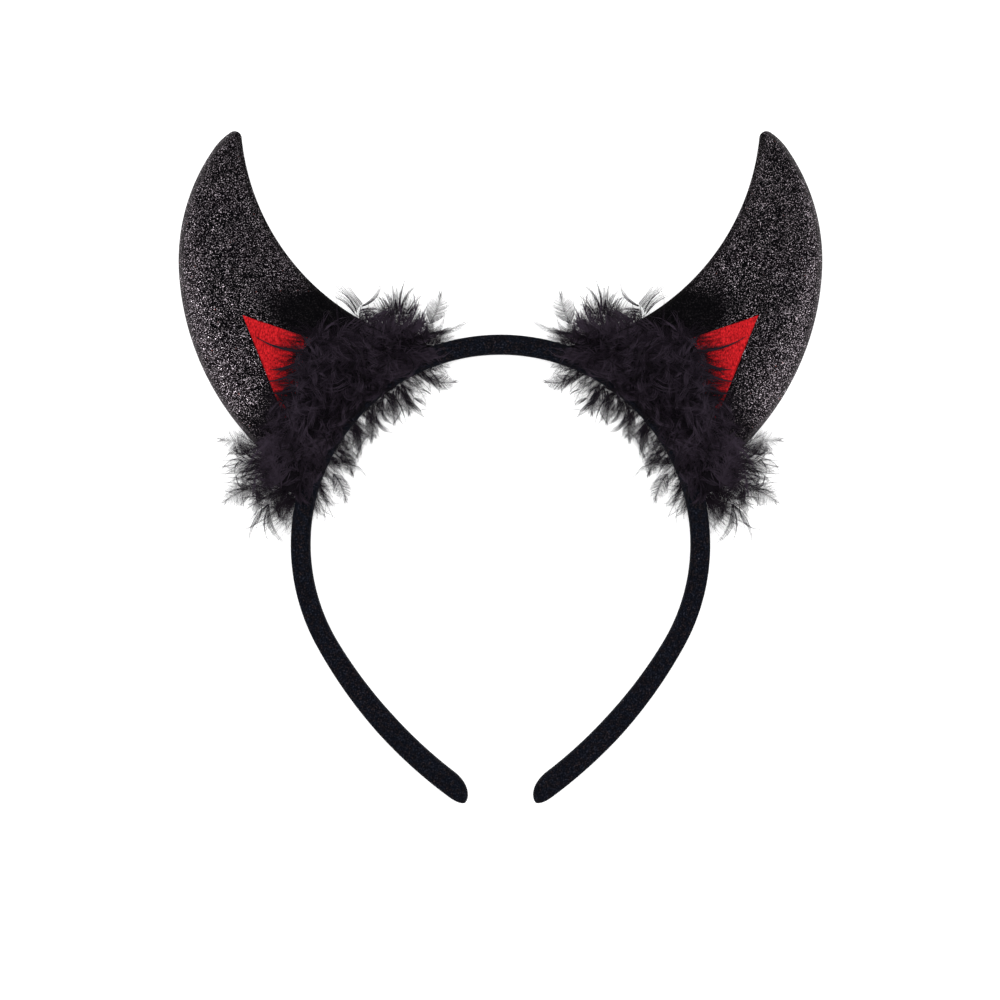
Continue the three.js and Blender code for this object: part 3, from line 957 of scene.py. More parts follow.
@dataclass
class Horn:
    """One padded horn: two faces of glitter cloth sewn together round a flat rim."""

    form: HornForm
    sparkle: Sparkle = Sparkle()
    along_steps: int = 130
    across_steps: int = 40
    tip_crowding: float = 1.8
    rim_points: tuple[float, ...] = (0.0, 0.1, 0.3, 0.55, 0.8, 1.0, 1.15, 1.3)
    least_width: float = 1e-3
    rim_edge: Range = (0.6, 1.4)
    rim_sparkle: float = 0.5
    rim_tone: Range = (0.15, 1.0)
    tip_tone: float = 0.6
    pale_across: Range = (0.2, 0.5)
    pale_along: Range = (0.05, 0.2)
    fill: float = 0.85

    def across_shares(self, along: Array) -> Array:
        """Shares across for each section: close together on the rim and even between.

        Args:
            along: shares along, one for each section.

        Returns:
            Shares by section and place.
        """
        width = np.maximum(self.form.width(along), self.least_width)
        size = np.clip(width / self.form.narrow, 0.0, 1.0)
        rim = np.array(self.rim_points)[None] * (size / width)[:, None]
        start, end = rim[:, -1:], 1.0 - rim[:, -1:]
        spread = (1.0 - np.cos(np.linspace(0.0, math.pi, self.across_steps)[1:-1])) / 2
        return np.concatenate([rim, lerp(start, end, spread[None]), 1.0 - rim[:, ::-1]], axis=1)

    def foot_faces(self, places: int) -> Array:
        """The faces that close the horn's foot.

        Args:
            places: how many places half a ring has.

        Returns:
            The faces, by the corner numbers of the first ring.
        """
        lower = (2 * places - np.arange(places + 1)) % (2 * places)
        middle = [(lower[n + 1], lower[n], n, n + 1) for n in range(1, places - 1)]
        ends = [(lower[1], 0, 1, -1), (places, lower[places - 1], places - 1, -1)]
        return np.array(middle + ends)

    def marks(self, along: Array, across: Array) -> dict[str, Array]:
        """What the glitter finish reads off the mesh, for its rings and the pole at its tip.

        Args:
            along: shares along, one for each ring.
            across: shares across, by ring and place.

        Returns:
            The marks by name.
        """
        along_all = np.broadcast_to(along[:, None], across.shape)
        from_edge = np.minimum(across, 1.0 - across) * self.form.width(along)[:, None]
        start, end = (self.form.rim_width * share for share in self.rim_edge)
        rim = 1.0 - smoothstep(start, end, from_edge)
        # Painted highlight: the rim is paler along the outer edge, past the foot.
        painted_highlight = (1.0 - smoothstep(*self.pale_across, across)) * smoothstep(*self.pale_along, along_all)
        # The flake cover also carries painted light and shade.
        sparkle = self.sparkle.at(along_all, across) * (1.0 - self.rim_sparkle * rim)
        return {
            "rim": np.append(rim.ravel(), 1.0),
            "rim_tone": np.append(lerp(*self.rim_tone, painted_highlight).ravel(), self.tip_tone),
            "sparkle": np.append(sparkle.ravel(), 0.0),
        }

    def shape(self) -> Shape:
        """The left horn's skin.

        Returns:
            The skin, with its rim, its rim's painted highlight and its flake cover, with painted light and
            shade, marked.
        """
        along = 1.0 - (1.0 - np.linspace(0.0, 1.0, self.along_steps + 1)[:-1]) ** self.tip_crowding
        across = self.across_shares(along)
        along_all = np.broadcast_to(along[:, None], across.shape)
        plan = self.form.plan(along_all, across)
        swell = self.form.swell(along_all, across)
        front = lifted(plan, self.form.mid_height + swell)
        back = lifted(plan, np.maximum(self.form.mid_height - swell, 0.0))[:, ::-1]
        rings = np.concatenate([front[:, :-1], back[:, :-1]], axis=1)
        tip = lifted(self.form.plan(np.array(1.0), np.array(0.5)), self.form.mid_height)
        whole = skin(rings, end=tip)
        whole.faces = np.concatenate([whole.faces, self.foot_faces(across.shape[1] - 1)])
        whole.marks = self.marks(along, np.concatenate([across[:, :-1], across[:, :0:-1]], axis=1))
        return whole

    def build(self, side: Side) -> bpy.types.Object:
        """Makes one half's horn in place of its solid.

        Args:
            side: which half.

        Returns:
            The horn.
        """
        horn = self.shape().on(side).piece(f"glitter_horn_{side.word}", GLITTER, "glitter_fabric")
        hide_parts(f"horn_{side.word}")
        return horn


@dataclass
class FeltPatch:
    """The red felt triangle on the front of a horn, laid over the padding.

    Its rim and its apex end part of the way up its thickness, and its foot is closed at a point a little
    below the middle of its last row.
    """

    form: HornForm
    apex: PlanPoint = (-74.4, 43.8)
    upper: PlanPoint = (-46.4, 34.1)
    lower: PlanPoint = (-59.7, 7.5)
    thickness: float = 1.0
    lift: float = 0.15
    edge_round: float = 0.3
    rim_share: float = 0.6
    apex_share: float = 0.5
    foot_share: float = 0.4
    first_row: float = 0.004
    foot_slope: float = 1e-4
    steps: int = 36

    def shape(self) -> Shape:
        """The left patch, row by row from the apex to its foot.

        Returns:
            The patch, closed all round.
        """
        apex, upper, lower = (np.array(corner) for corner in (self.apex, self.upper, self.lower))
        middle = (apex + upper + lower) / 3
        down = np.linspace(self.first_row, 1.0, self.steps)
        over = np.linspace(0.0, 1.0, self.steps)
        foot = lerp(lower, upper, over[:, None])
        plan = lerp(apex, foot[None], down[:, None, None])
        along, across = self.form.shares(plan)
        ground = self.form.mid_height + self.form.swell(along, across) + self.lift
        border = np.zeros((self.steps, self.steps))
        border[:, 0] = border[:, -1] = border[-1] = 1.0
        inset = plan + unit(middle - plan) * self.edge_round * border[..., None]
        top, bottom = lifted(inset, ground + self.thickness), lifted(plan, ground)
        rim = bottom + UP * self.thickness * self.rim_share
        rings = np.concatenate([bottom, rim[:, -1:], top[:, ::-1], rim[:, :1]], axis=1)
        end = rings[-1].mean(axis=0) - UP * self.thickness * self.foot_share
        foot_rim = np.concatenate([bottom[-1], rim[-1, -1:], rim[-1, ::-1], rim[-1, :1]])
        foot_low = np.concatenate([bottom[-1], bottom[-1, -1:], bottom[-1, ::-1], bottom[-1, :1]])
        foot_low[:, 2] += np.linspace(0.0, self.foot_slope, len(foot_low))
        start = lifted(apex, ground[0, 0] + self.thickness * self.apex_share)
        return skin(np.concatenate([rings, foot_rim[None], foot_low[None]]), start, end)

    def covers(self, plan: Array) -> Array:
        """Whether plan points lie on the left patch.

        Args:
            plan: plan points.

        Returns:
            True for each point on the patch.
        """
        corners = np.array([self.apex, self.lower, self.upper])
        inside = np.ones(plan.shape[:-1], dtype=bool)
        for corner, following in zip(corners, np.roll(corners, -1, axis=0)):
            side, reach = following - corner, plan - corner
            inside &= side[0] * reach[..., 1] - side[1] * reach[..., 0] >= 0.0
        return inside

    def build(self, side: Side) -> bpy.types.Object:
        """Makes one half's patch in place of its solid.

        Args:
            side: which half.

        Returns:
            The patch.
        """
        patch = self.shape().on(side).piece(f"felt_patch_{side.word}", FELT, "red_felt")
        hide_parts(f"inner_patch_{side.word}")
        base = math.dist(self.upper, self.lower)
        f"glitter_horn_{side.word}"
        return patch


@dataclass
class Strands:
    """Single hairs: each one runs from its root past its bow to its tip and thins out on the way.

    Taper is the power of the share along that it thins by, and lighter what its tone is multiplied by at
    its root and its tip.
    """

    root: Array
    bow: Array
    tip: Array
    half: Array
    tone: Array
    taper: float = 1.5
    lighter: Range = (0.75, 1.2)

    def shape(self, rings: int) -> Shape:
        """The hairs as closed spikes.

        Args:
            rings: how many rings of corners each hair has before its tip.

        Returns:
            The hairs, with their tone marked.
        """
        share = np.linspace(0.0, 1.0, rings + 1)
        centres = bent(self.root, self.bow, self.tip, share[None])
        hairs = spikes(centres, self.half[:, None] * (1.0 - share[:-1] ** self.taper))
        lighter = np.repeat(lerp(*self.lighter, share[:-1]), len(SPIKE_CORNERS))
        lighter = np.append(lighter, self.lighter[1])
        hairs.marks["tone"] = np.clip(self.tone[:, None] * lighter, 0.0, 1.0).ravel()
        return hairs


@dataclass(frozen=True)
class PlumeStyle:
    """How a plume's barbs sweep off its shaft.

    Run is the range of how far past its root a barb's tip lies, as a share of the shaft, and reach is how
    far out it lies, as a share of the vane's half breadth. Curl gives the mean and the spread of how far a
    barb bulges outwards, and stray how far it leaves the vane, as shares of its length. Pull is the range of
    how far the tips of a clump run together. A higher peak puts the vane's broadest place nearer to its tip,
    and blunt is the power that rounds the vane off. Shorter is the share of its run that a barb at the tip
    lacks, and finer its thickness as a share of one at the root. From ragged_from on, the vane lacks a share
    of its breadth that is drawn from ragged.
    """

    barbs: int
    barb_half: float
    shaft_half: float
    run: Range
    reach: Range
    clump: int
    pull: Range
    curl: Range
    stray: float
    droop: float = 0.05
    first: float = 0.02
    last: float = 0.85
    furthest: float = 0.95
    peak: float = 1.5
    fullest: Range = (0.1, 0.985)
    blunt: float = 0.6
    ragged_from: Range = (0.85, 1.0)
    ragged: Range = (0.0, 0.9)
    uneven: float = 0.5
    shorter: float = 0.65
    finer: float = 0.6
    thickness: Range = (0.7, 1.25)
    tone_spread: float = 0.07
    shaft_tone: float = 0.3
    barb_rings: int = 2
    shaft_rings: int = 6


@dataclass
class Plumes:
    """Whole plumes: each shaft curves from its root past its bow to its tip, with barbs on both sides."""

    root: Array
    bow: Array
    tip: Array
    breadth: Array
    tone: Array
    face: Array

    @staticmethod
    def between(
        root: Array, tip: Array, sway: Array, breadth: Array,
        tone: Array, roll: Array, arch: Values,
    ) -> "Plumes":
        """Plumes from the points of their roots and tips.

        Args:
            root: points of the roots.
            tip: points of the tips.
            sway: how far each bows to its left, as a share of its length.
            breadth: how wide each is.
            tone: how light each is.
            roll: how far each is turned about its shaft, in radians.
            arch: how far each bows upwards.

        Returns:
            The plumes.
        """
        run = tip - root
        sideways = unit(left_of(run))
        bow = (root + tip) / 2 + 2 * sideways * (sway * np.linalg.norm(run[:, :2], axis=1))[:, None]
        bow[:, 2] += arch
        face = unit(np.cos(roll)[:, None] * UP + np.sin(roll)[:, None] * sideways)
        return Plumes(root, bow, tip, breadth, tone, face)

    def chosen(self, numbers: Array) -> "Plumes":
        """The plumes with some numbers, in that order."""
        columns = (self.root, self.bow, self.tip, self.breadth, self.tone, self.face)
        return Plumes(*(column[numbers] for column in columns))

    def at(self, share: Array) -> tuple[Array, Array]:
        """The shafts' points and directions.

        Args:
            share: shares of the way from root to tip, by plume and place.

        Returns:
            Points and unit directions, by plume and place.
        """
        root, bow, tip = (end[:, None] for end in (self.root, self.bow, self.tip))
        part = share[..., None]
        towards = unit((1 - part) * (bow - root) + part * (tip - bow))
        return bent(self.root, self.bow, self.tip, share), towards

    def barbs(self, style: PlumeStyle, hand: float, draw: Draw) -> Strands:
        """The barbs on one side of the shafts, in small clumps that run together at their tips.

        Args:
            style: how the barbs stand.
            hand: 1 for the left side of the shaft and -1 for its right side.
            draw: the random numbers.

        Returns:
            The barbs.
        """
        each = style.barbs
        size = (len(self.root), each)
        group = np.arange(each) // style.clump
        group_size = (len(self.root), group[-1] + 1)
        even = np.linspace(style.first, style.last, each)
        share = np.clip(even + style.uneven * draw.uniform(-1, 1, size) / each, 0.0, style.furthest)
        start, _ = self.at(share)
        ahead = share + draw.uniform(*style.run, size) * (1.0 - style.shorter * share)
        along, towards = self.at(ahead)
        sideways = hand * unit(np.cross(self.face[:, None], towards))
        over = np.cross(towards, sideways)
        vane = np.sin(math.pi * np.clip(ahead, *style.fullest) ** style.peak) ** style.blunt
        ragged = 1.0 - smoothstep(*style.ragged_from, ahead) * draw.uniform(*style.ragged, size)
        width = (self.breadth[:, None] / 2 * vane * draw.uniform(*style.reach, size) * ragged)[..., None]
        free = along + width * sideways
        length = np.linalg.norm(free - start, axis=-1, keepdims=True)
        free = free + length * draw.normal(0, style.stray, size)[..., None] * over
        lead = np.minimum(group * style.clump + style.clump // 2, each - 1)
        tip = lerp(free, free[:, lead], draw.uniform(*style.pull, group_size)[:, group, None])
        tip[..., 2] -= style.droop * length[..., 0]
        curl = draw.normal(*style.curl, group_size)[:, group, None]
        bow = (start + tip) / 2 + curl * length * sideways
        half = style.barb_half * lerp(1.0, style.finer, share) * draw.uniform(*style.thickness, size)
        tone = self.tone[:, None] + draw.normal(0, style.tone_spread, size)
        return Strands(*(ends.reshape(-1, 3) for ends in (start, bow, tip)), half.ravel(), tone.ravel())

    def shape(self, style: PlumeStyle, draw: Draw) -> Shape:
        """The plumes as closed spikes.

        Args:
            style: how the barbs stand.
            draw: the random numbers.

        Returns:
            Shafts and barbs in one shape, with their tone marked.
        """
        half = np.full(len(self.root), style.shaft_half)
        shafts = Strands(self.root, self.bow, self.tip, half, style.shaft_tone * self.tone)
        sides = [self.barbs(style, hand, draw).shape(style.barb_rings) for hand in (1.0, -1.0)]
        return Shape.joined([shafts.shape(style.shaft_rings), *sides])


class Lie(Enum):
    """What a single plume at the rim looks like."""

    FILM = "one light plume with a thin vane"
    LEAF = "a plume with smaller ones beside it"
    BLADE = "barbs that have run together into one curved blade"
    HAIR = "one barb"


@dataclass(frozen=True)
class RimPlume:
    """A plume that shows past the band or the horn.

    Root and tip are plan points in millimetres, sway is how far it bows to its left as a share of its
    length, breadth is in millimetres and is a hair's thickness, and the heights are those of root and tip.
    """

    lie: Lie
    root: PlanPoint
    tip: PlanPoint
    sway: float
    breadth: float
    heights: Range

    @property
    def root_point(self) -> Triple:
        """The root with its height."""
        return (*self.root, self.heights[0])

    @property
    def tip_point(self) -> Triple:
        """The tip with its height."""
        return (*self.tip, self.heights[1])


film = partial(RimPlume, Lie.FILM)
leaf = partial(RimPlume, Lie.LEAF)
blade = partial(RimPlume, Lie.BLADE)
hair = partial(RimPlume, Lie.HAIR)

FAN_LENGTHS = (0.78, 1.06)
GOLDEN_SHARE = 0.618


def fan(
    count: int, roots: tuple[PlanPoint, PlanPoint], tips: tuple[PlanPoint, PlanPoint],
    sways: Range, breadth: float, heights: Range,
) -> tuple[RimPlume, ...]:
    """Single barbs side by side, each a little shorter or longer than the next.

    Args:
        count: how many.
        roots: the ends of the line that their roots lie on.
        tips: the ends of the line that their tips lie near.
        sways: the sways of the first and the last.
        breadth: how thick they are.
        heights: the heights of their roots and tips.

    Returns:
        The barbs.
    """
    barbs = []
    for number, share in enumerate(np.linspace(0.0, 1.0, count)):
        root, tip = lerp(*np.array(roots), share), lerp(*np.array(tips), share)
        length = lerp(*FAN_LENGTHS, number * GOLDEN_SHARE % 1.0)
        end, sway = lerp(root, tip, length), lerp(*sways, share)
        barbs.append(hair(tuple(root), tuple(end), sway, breadth, heights))
    return tuple(barbs)


@dataclass(frozen=True)
class DownRow:
    """Fine single hairs close to the rim.

    Their roots stand along a line from the first angle and radius round the arch to the last, and their
    headings, in degrees from +X, turn from the first to the last along it. Fan is how far a heading leaves
    that. Reach and the roots' heights are ranges in millimetres.
    """

    count: int
    angles: Range
    radii: Range
    heading: Range
    fan: float
    reach: Range
    heights: Range


@dataclass(frozen=True)
class FillRow(DownRow):
    """Narrow plumes, curved like flames, that fill out the rim between the large ones.

    They stand as the down does. Breadth is a range in millimetres.
    """

    breadth: Range


@dataclass(frozen=True)
class RimGroup:
    """The plumes along one stretch of the rim, which make one piece."""

    name: str
    plumes: tuple[RimPlume, ...]
    fill: tuple[FillRow, ...]
    down: DownRow
    seed: int

    def of(self, lie: Lie) -> list[RimPlume]:
        """The single plumes of one kind."""
        return [plume for plume in self.plumes if plume.lie is lie]


UPPER_PLUMES = (
    *fan(20, ((-39.9, 47.4), (-41.5, 45.6)), ((-45.4, 56.8), (-52.8, 56.0)), (0.05, -0.05), 0.10, (4, 6)),
    *fan(10, ((-41.3, 45.6), (-42.6, 44.6)), ((-52.8, 53.6), (-53.0, 49.8)), (-0.06, -0.14), 0.10, (4, 6)),
    *fan(30, ((-33.4, 43.6), (-25.8, 44.2)), ((-38.0, 51.0), (-19.4, 51.8)), (-0.14, 0.12), 0.15, (6, 9)),
    *fan(18, ((-32.0, 44.0), (-27.4, 44.4)), ((-34.6, 56.4), (-22.6, 56.2)), (-0.08, 0.10), 0.15, (6, 10)),
    blade((-41.6, 44.8), (-48.8, 51.6), -0.14, 0.3, (4, 6)),
    blade((-42.2, 44.4), (-48.6, 49.4), -0.10, 0.5, (4, 6)),
    blade((-40.0, 46.6), (-34.4, 54.4), -0.16, 0.9, (4, 7)),
    blade((-31.4, 44.2), (-34.9, 51.6), -0.15, 0.9, (6, 8)),
    blade((-31.6, 43.6), (-36.8, 49.4), -0.18, 0.7, (6, 8)),
    blade((-30.9, 43.8), (-31.6, 54.0), -0.05, 0.5, (6, 9)),
    blade((-30.0, 44.0), (-29.8, 53.0), 0.02, 0.8, (6, 9)),
    blade((-29.3, 45.0), (-28.0, 53.2), 0.05, 0.3, (6, 9)),
    blade((-29.0, 44.6), (-22.6, 53.4), 0.12, 0.6, (6, 10)),
    blade((-27.6, 44.2), (-24.2, 49.8), -0.05, 0.3, (6, 9)),
    blade((-29.2, 45.6), (-27.0, 55.4), 0.05, 0.2, (6, 10)),
    blade((-26.4, 44.4), (-21.8, 46.8), 0.20, 0.7, (6, 8)),
    blade((-27.0, 44.0), (-22.6, 45.4), 0.20, 0.6, (6, 8)),
    blade((-40.8, 42.4), (-40.0, 47.6), 0.04, 0.30, (4, 6)),
    blade((-40.5, 45.4), (-33.4, 45.2), 0.06, 0.6, (5, 6)),
    blade((-40.4, 44.8), (-34.2, 43.6), 0.10, 0.8, (5, 6)),
    blade((-39.8, 43.8), (-35.0, 42.2), 0.18, 0.8, (5, 6)),
    blade((-38.9, 42.8), (-34.6, 40.8), 0.20, 0.8, (5, 6)),
    *fan(14, ((-36.2, 43.2), (-32.4, 43.4)), ((-39.4, 49.6), (-34.4, 51.2)), (-0.16, -0.10), 0.14, (5, 7)),
    blade((-33.6, 42.0), (-37.2, 47.0), 0.20, 0.6, (3, 5)),
    leaf((-31.4, 41.4), (-33.6, 47.2), 0.15, 3.2, (4, 8)),
    leaf((-31.1, 41.2), (-31.6, 47.8), 0.05, 2.6, (4, 9)),
    leaf((-30.2, 41.0), (-28.4, 47.6), -0.10, 2.8, (5, 11)),
    leaf((-28.5, 40.4), (-25.4, 45.8), -0.15, 3.0, (6, 9)),
    leaf((-26.7, 39.2), (-21.6, 44.6), 0.10, 3.6, (5, 8)),
    film((-22.1, 39.2), (-17.2, 51.2), -0.08, 8.6, (4, 8)),
    blade((-23.3, 38.7), (-15.8, 44.2), -0.25, 1.4, (6, 9)),
    *fan(9, ((-20.6, 38.8), (-19.6, 38.3)), ((-4.2, 46.2), (-5.6, 44.6)), (-0.08, -0.11), 0.15, (4, 7)),
    blade((-21.4, 38.4), (-14.6, 40.6), -0.18, 1.6, (6, 8)),
    leaf((-19.8, 37.9), (-12.9, 38.1), -0.12, 3.0, (4, 6)),
    leaf((-27.3, 37.2), (-15.0, 40.6), -0.08, 3.2, (9, 7)),
    leaf((-26.0, 35.6), (-16.5, 37.2), -0.06, 3.0, (9, 7)),
    leaf((-24.5, 37.6), (-19.0, 41.6), -0.10, 3.0, (8, 7)),
)

INNER_PLUMES = (
    film((-23.3, 27.7), (-11.9, 25.0), -0.14, 6.0, (3, 5)),
    blade((-22.8, 28.0), (-16.6, 24.2), -0.22, 1.0, (4, 6)),
    leaf((-26.7, 24.9), (-21.2, 17.8), 0.10, 4.2, (3, 5)),
    blade((-28.5, 23.7), (-23.0, 15.9), -0.12, 1.7, (4, 5)),
    blade((-28.0, 23.2), (-21.0, 13.6), -0.12, 0.9, (4, 5)),
    leaf((-30.2, 23.4), (-25.0, 19.5), 0.20, 4.5, (2, 4)),
    blade((-29.6, 23.1), (-28.5, 14.5), -0.10, 1.4, (3, 5)),
    blade((-31.0, 22.0), (-27.1, 11.0), -0.12, 0.9, (4, 5)),
    leaf((-33.1, 21.6), (-29.6, 15.4), 0.15, 5.0, (2, 5)),
    blade((-33.9, 21.0), (-30.2, 14.2), -0.30, 1.4, (4, 6)),
    blade((-35.4, 18.8), (-31.5, 13.0), -0.25, 1.5, (3, 5)),
    blade((-36.8, 18.2), (-31.2, 10.4), -0.22, 1.6, (5, 5)),
    leaf((-37.4, 17.4), (-38.0, 5.8), 0.08, 4.4, (2, 4)),
    leaf((-42.6, 13.6), (-41.2, 4.3), 0.05, 5.2, (3, 5)),
    film((-43.2, 14.6), (-40.6, 4.0), 0.08, 5.0, (3, 5)),
    film((-39.2, 18.6), (-37.4, 7.0), 0.08, 5.0, (2, 4)),
    film((-34.0, 21.6), (-30.8, 11.8), 0.10, 5.0, (2, 4)),
    film((-48.0, 6.4), (-42.8, -3.0), 0.10, 5.0, (2, 4)),
    film((-30.0, 23.6), (-26.4, 14.4), 0.10, 5.0, (2, 4)),
    blade((-36.0, 14.4), (-29.9, 9.9), -0.20, 0.9, (5, 6)),
    blade((-34.3, 16.6), (-30.6, 12.0), -0.16, 0.8, (5, 6)),
    blade((-26.8, 19.1), (-21.8, 13.6), 0.08, 0.7, (5, 6)),
    blade((-24.9, 19.9), (-20.8, 17.0), 0.05, 0.9, (5, 6)),
    blade((-29.9, 19.4), (-27.0, 10.4), 0.06, 0.25, (5, 6)),
    blade((-22.9, 22.4), (-19.7, 19.9), 0.16, 0.35, (5, 6)),
    blade((-28.6, 16.6), (-31.7, 11.8), 0.06, 0.15, (5, 6)),
    blade((-41.6, 10.6), (-40.8, 4.0), 0.06, 1.1, (5, 6)),
    hair((-28.4, 16.6), (-24.4, 14.4), 0.10, 0.18, (5, 6)),
    hair((-23.4, 16.3), (-16.6, 15.6), 0.10, 0.16, (5, 6)),
    hair((-45.1, 1.6), (-39.8, 2.0), -0.10, 0.22, (5, 6)),
    hair((-45.0, 0.9), (-37.6, -3.6), 0.15, 0.22, (5, 6)),
    hair((-44.8, 0.8), (-42.1, -3.8), 0.10, 0.22, (5, 6)),
    hair((-37.2, 11.4), (-42.4, -3.8), -0.10, 0.16, (4, 4)),
    hair((-36.8, 10.6), (-40.8, -2.2), -0.16, 0.16, (4, 4)),
    leaf((-44.9, 9.8), (-42.9, -0.9), 0.10, 4.2, (2, 4)),
    leaf((-47.8, 3.5), (-39.4, 4.6), -0.20, 4.0, (4, 6)),
    leaf((-50.1, 1.4), (-38.6, -2.9), 0.15, 2.4, (3, 5)),
    film((-50.4, 0.0), (-44.6, -11.0), 0.10, 6.5, (3, 5)),
    blade((-52.6, -3.2), (-47.5, -12.1), -0.15, 1.2, (4, 5)),
    blade((-53.6, -5.6), (-49.6, -15.3), -0.20, 1.2, (3, 4)),
)

LOWER_PLUMES = (
    film((-67.2, 2.6), (-82.6, 7.8), -0.10, 10.0, (3, 6)),
    blade((-71.6, 2.6), (-75.3, 9.2), 0.10, 1.4, (4, 6)),
    leaf((-65.2, 0.6), (-81.0, 0.2), 0.05, 7.5, (4, 7)),
    hair((-74.4, 1.8), (-86.4, 0.2), 0.08, 0.18, (6, 6)),
    hair((-74.0, -1.2), (-86.8, -1.2), 0.06, 0.18, (5, 6)),
    hair((-73.9, -5.3), (-87.2, -5.9), -0.08, 0.18, (6, 6)),
    hair((-74.8, 3.0), (-85.4, 3.0), 0.10, 0.18, (5, 6)),
    leaf((-66.0, -1.2), (-78.4, -7.6), 0.10, 7.0, (5, 7)),
    film((-69.0, -6.0), (-80.8, -11.0), -0.10, 9.0, (5, 5)),
    blade((-70.4, -6.8), (-71.7, -15.6), 0.10, 1.3, (5, 5)),
    blade((-69.1, -10.0), (-78.2, -18.0), 0.30, 0.5, (4, 5)),
    blade((-67.2, -10.8), (-73.0, -24.0), -0.12, 0.8, (4, 4)),
    blade((-67.6, -12.3), (-66.4, -23.0), -0.12, 0.4, (4, 4)),
    blade((-67.2, -10.8), (-61.0, -23.2), -0.16, 1.3, (5, 4)),
    leaf((-65.5, -9.6), (-60.8, -17.6), -0.10, 3.2, (4, 5)),
    leaf((-63.7, -6.6), (-70.9, -15.4), 0.10, 6.5, (6, 6)),
    leaf((-62.9, -3.8), (-74.0, -11.0), 0.10, 6.5, (6, 8)),
    leaf((-61.4, -7.2), (-62.8, -15.5), 0.10, 4.5, (5, 6)),
    leaf((-62.5, -2.0), (-74.0, -3.2), -0.12, 6.5, (7, 9)),
    leaf((-66.0, 1.6), (-75.0, 3.4), 0.12, 5.0, (5, 7)),
    leaf((-57.5, 1.0), (-64.5, -11.0), 0.05, 5.0, (9, 7)),
    leaf((-58.5, -1.0), (-61.5, -13.0), 0.05, 4.0, (8, 6)),
    blade((-73.6, 2.4), (-76.6, 8.6), 0.20, 0.3, (5, 7)),
    blade((-74.0, 2.8), (-76.4, -3.6), -0.22, 0.3, (6, 7)),
    blade((-76.4, -2.6), (-73.6, -7.4), -0.12, 0.3, (7, 6)),
    blade((-66.5, 0.2), (-75.2, -0.4), 0.06, 0.35, (8, 7)),
    blade((-66.8, -2.4), (-74.6, -7.6), 0.08, 0.4, (8, 6)),
    blade((-73.0, -6.6), (-80.4, -9.0), -0.15, 0.3, (6, 6)),
    blade((-70.2, 5.6), (-77.4, 2.0), -0.05, 0.3, (6, 7)),
    blade((-66.0, 1.2), (-76.0, 4.6), -0.10, 0.3, (8, 7)),
)

OVER_PATCH = (
    blade((-56.5, 33.4), (-71.8, 38.2), 0.08, 0.45, (14.2, 12.8)),
    blade((-57.5, 28.0), (-69.2, 24.4), 0.08, 0.45, (14.2, 12.8)),
    blade((-57.0, 31.0), (-67.2, 27.9), 0.10, 0.7, (14.0, 12.9)),
    blade((-58.6, 23.0), (-66.8, 21.2), 0.10, 0.6, (14.0, 12.6)),
)

UPPER_TUFT = RimGroup(
    "marabou_upper_tuft",
    UPPER_PLUMES,
    (
        FillRow(40, (20.5, 27.5), (60.6, 69.0), (64.0, 96.0), 18.0, (4.0, 9.5), (1.5, 4.5), (0.8, 2.2)),
        FillRow(46, (18.0, 29.5), (59.5, 72.0), (60.0, 90.0), 26.0, (2.5, 5.5), (1.5, 4.5), (1.6, 2.8)),
        FillRow(26, (28.8, 31.8), (71.2, 76.6), (84.0, 70.0), 34.0, (2.5, 5.0), (2.5, 5.0), (1.2, 2.4)),
    ),
    DownRow(340, (18.0, 31.8), (59.5, 76.2), (60.0, 84.0), 42.0, (3.0, 8.0), (1.5, 5.0)),
    seed=31,
)

INNER_FRINGE = RimGroup(
    "marabou_inner_fringe",
    INNER_PLUMES,
    (
        FillRow(78, (20.5, 77.0), (57.8, 57.8), (-24.0, -60.0), 26.0, (6.5, 12.5), (1.5, 4.5), (1.4, 3.6)),
        FillRow(64, (20.0, 78.0), (58.0, 58.0), (-30.0, -60.0), 34.0, (4.0, 7.0), (1.5, 4.5), (2.0, 3.4)),
    ),
    DownRow(900, (20.0, 78.0), (56.4, 56.4), (-30.0, -60.0), 40.0, (4.0, 10.5), (1.5, 5.0)),
    seed=37,
)

LOWER_TUFT = RimGroup(
    "marabou_lower_tuft",
    LOWER_PLUMES,
    (
        FillRow(108, (77.0, 68.5), (59.0, 72.5), (226.0, 176.0), 24.0, (8.0, 17.0), (1.5, 6.5), (1.6, 4.0)),
        FillRow(50, (79.0, 68.0), (60.0, 72.0), (240.0, 165.0), 30.0, (4.0, 8.0), (2.0, 6.5), (2.0, 3.2)),
        FillRow(28, (79.0, 70.2), (72.0, 79.5), (215.0, 158.0), 52.0, (3.5, 8.0), (2.0, 6.5), (1.2, 2.8)),
    ),
    DownRow(200, (79.0, 68.0), (62.0, 74.0), (240.0, 165.0), 46.0, (5.0, 12.0), (2.0, 6.5)),
    seed=41,
)

RIM_GROUPS = (UPPER_TUFT, INNER_FRINGE, LOWER_TUFT)


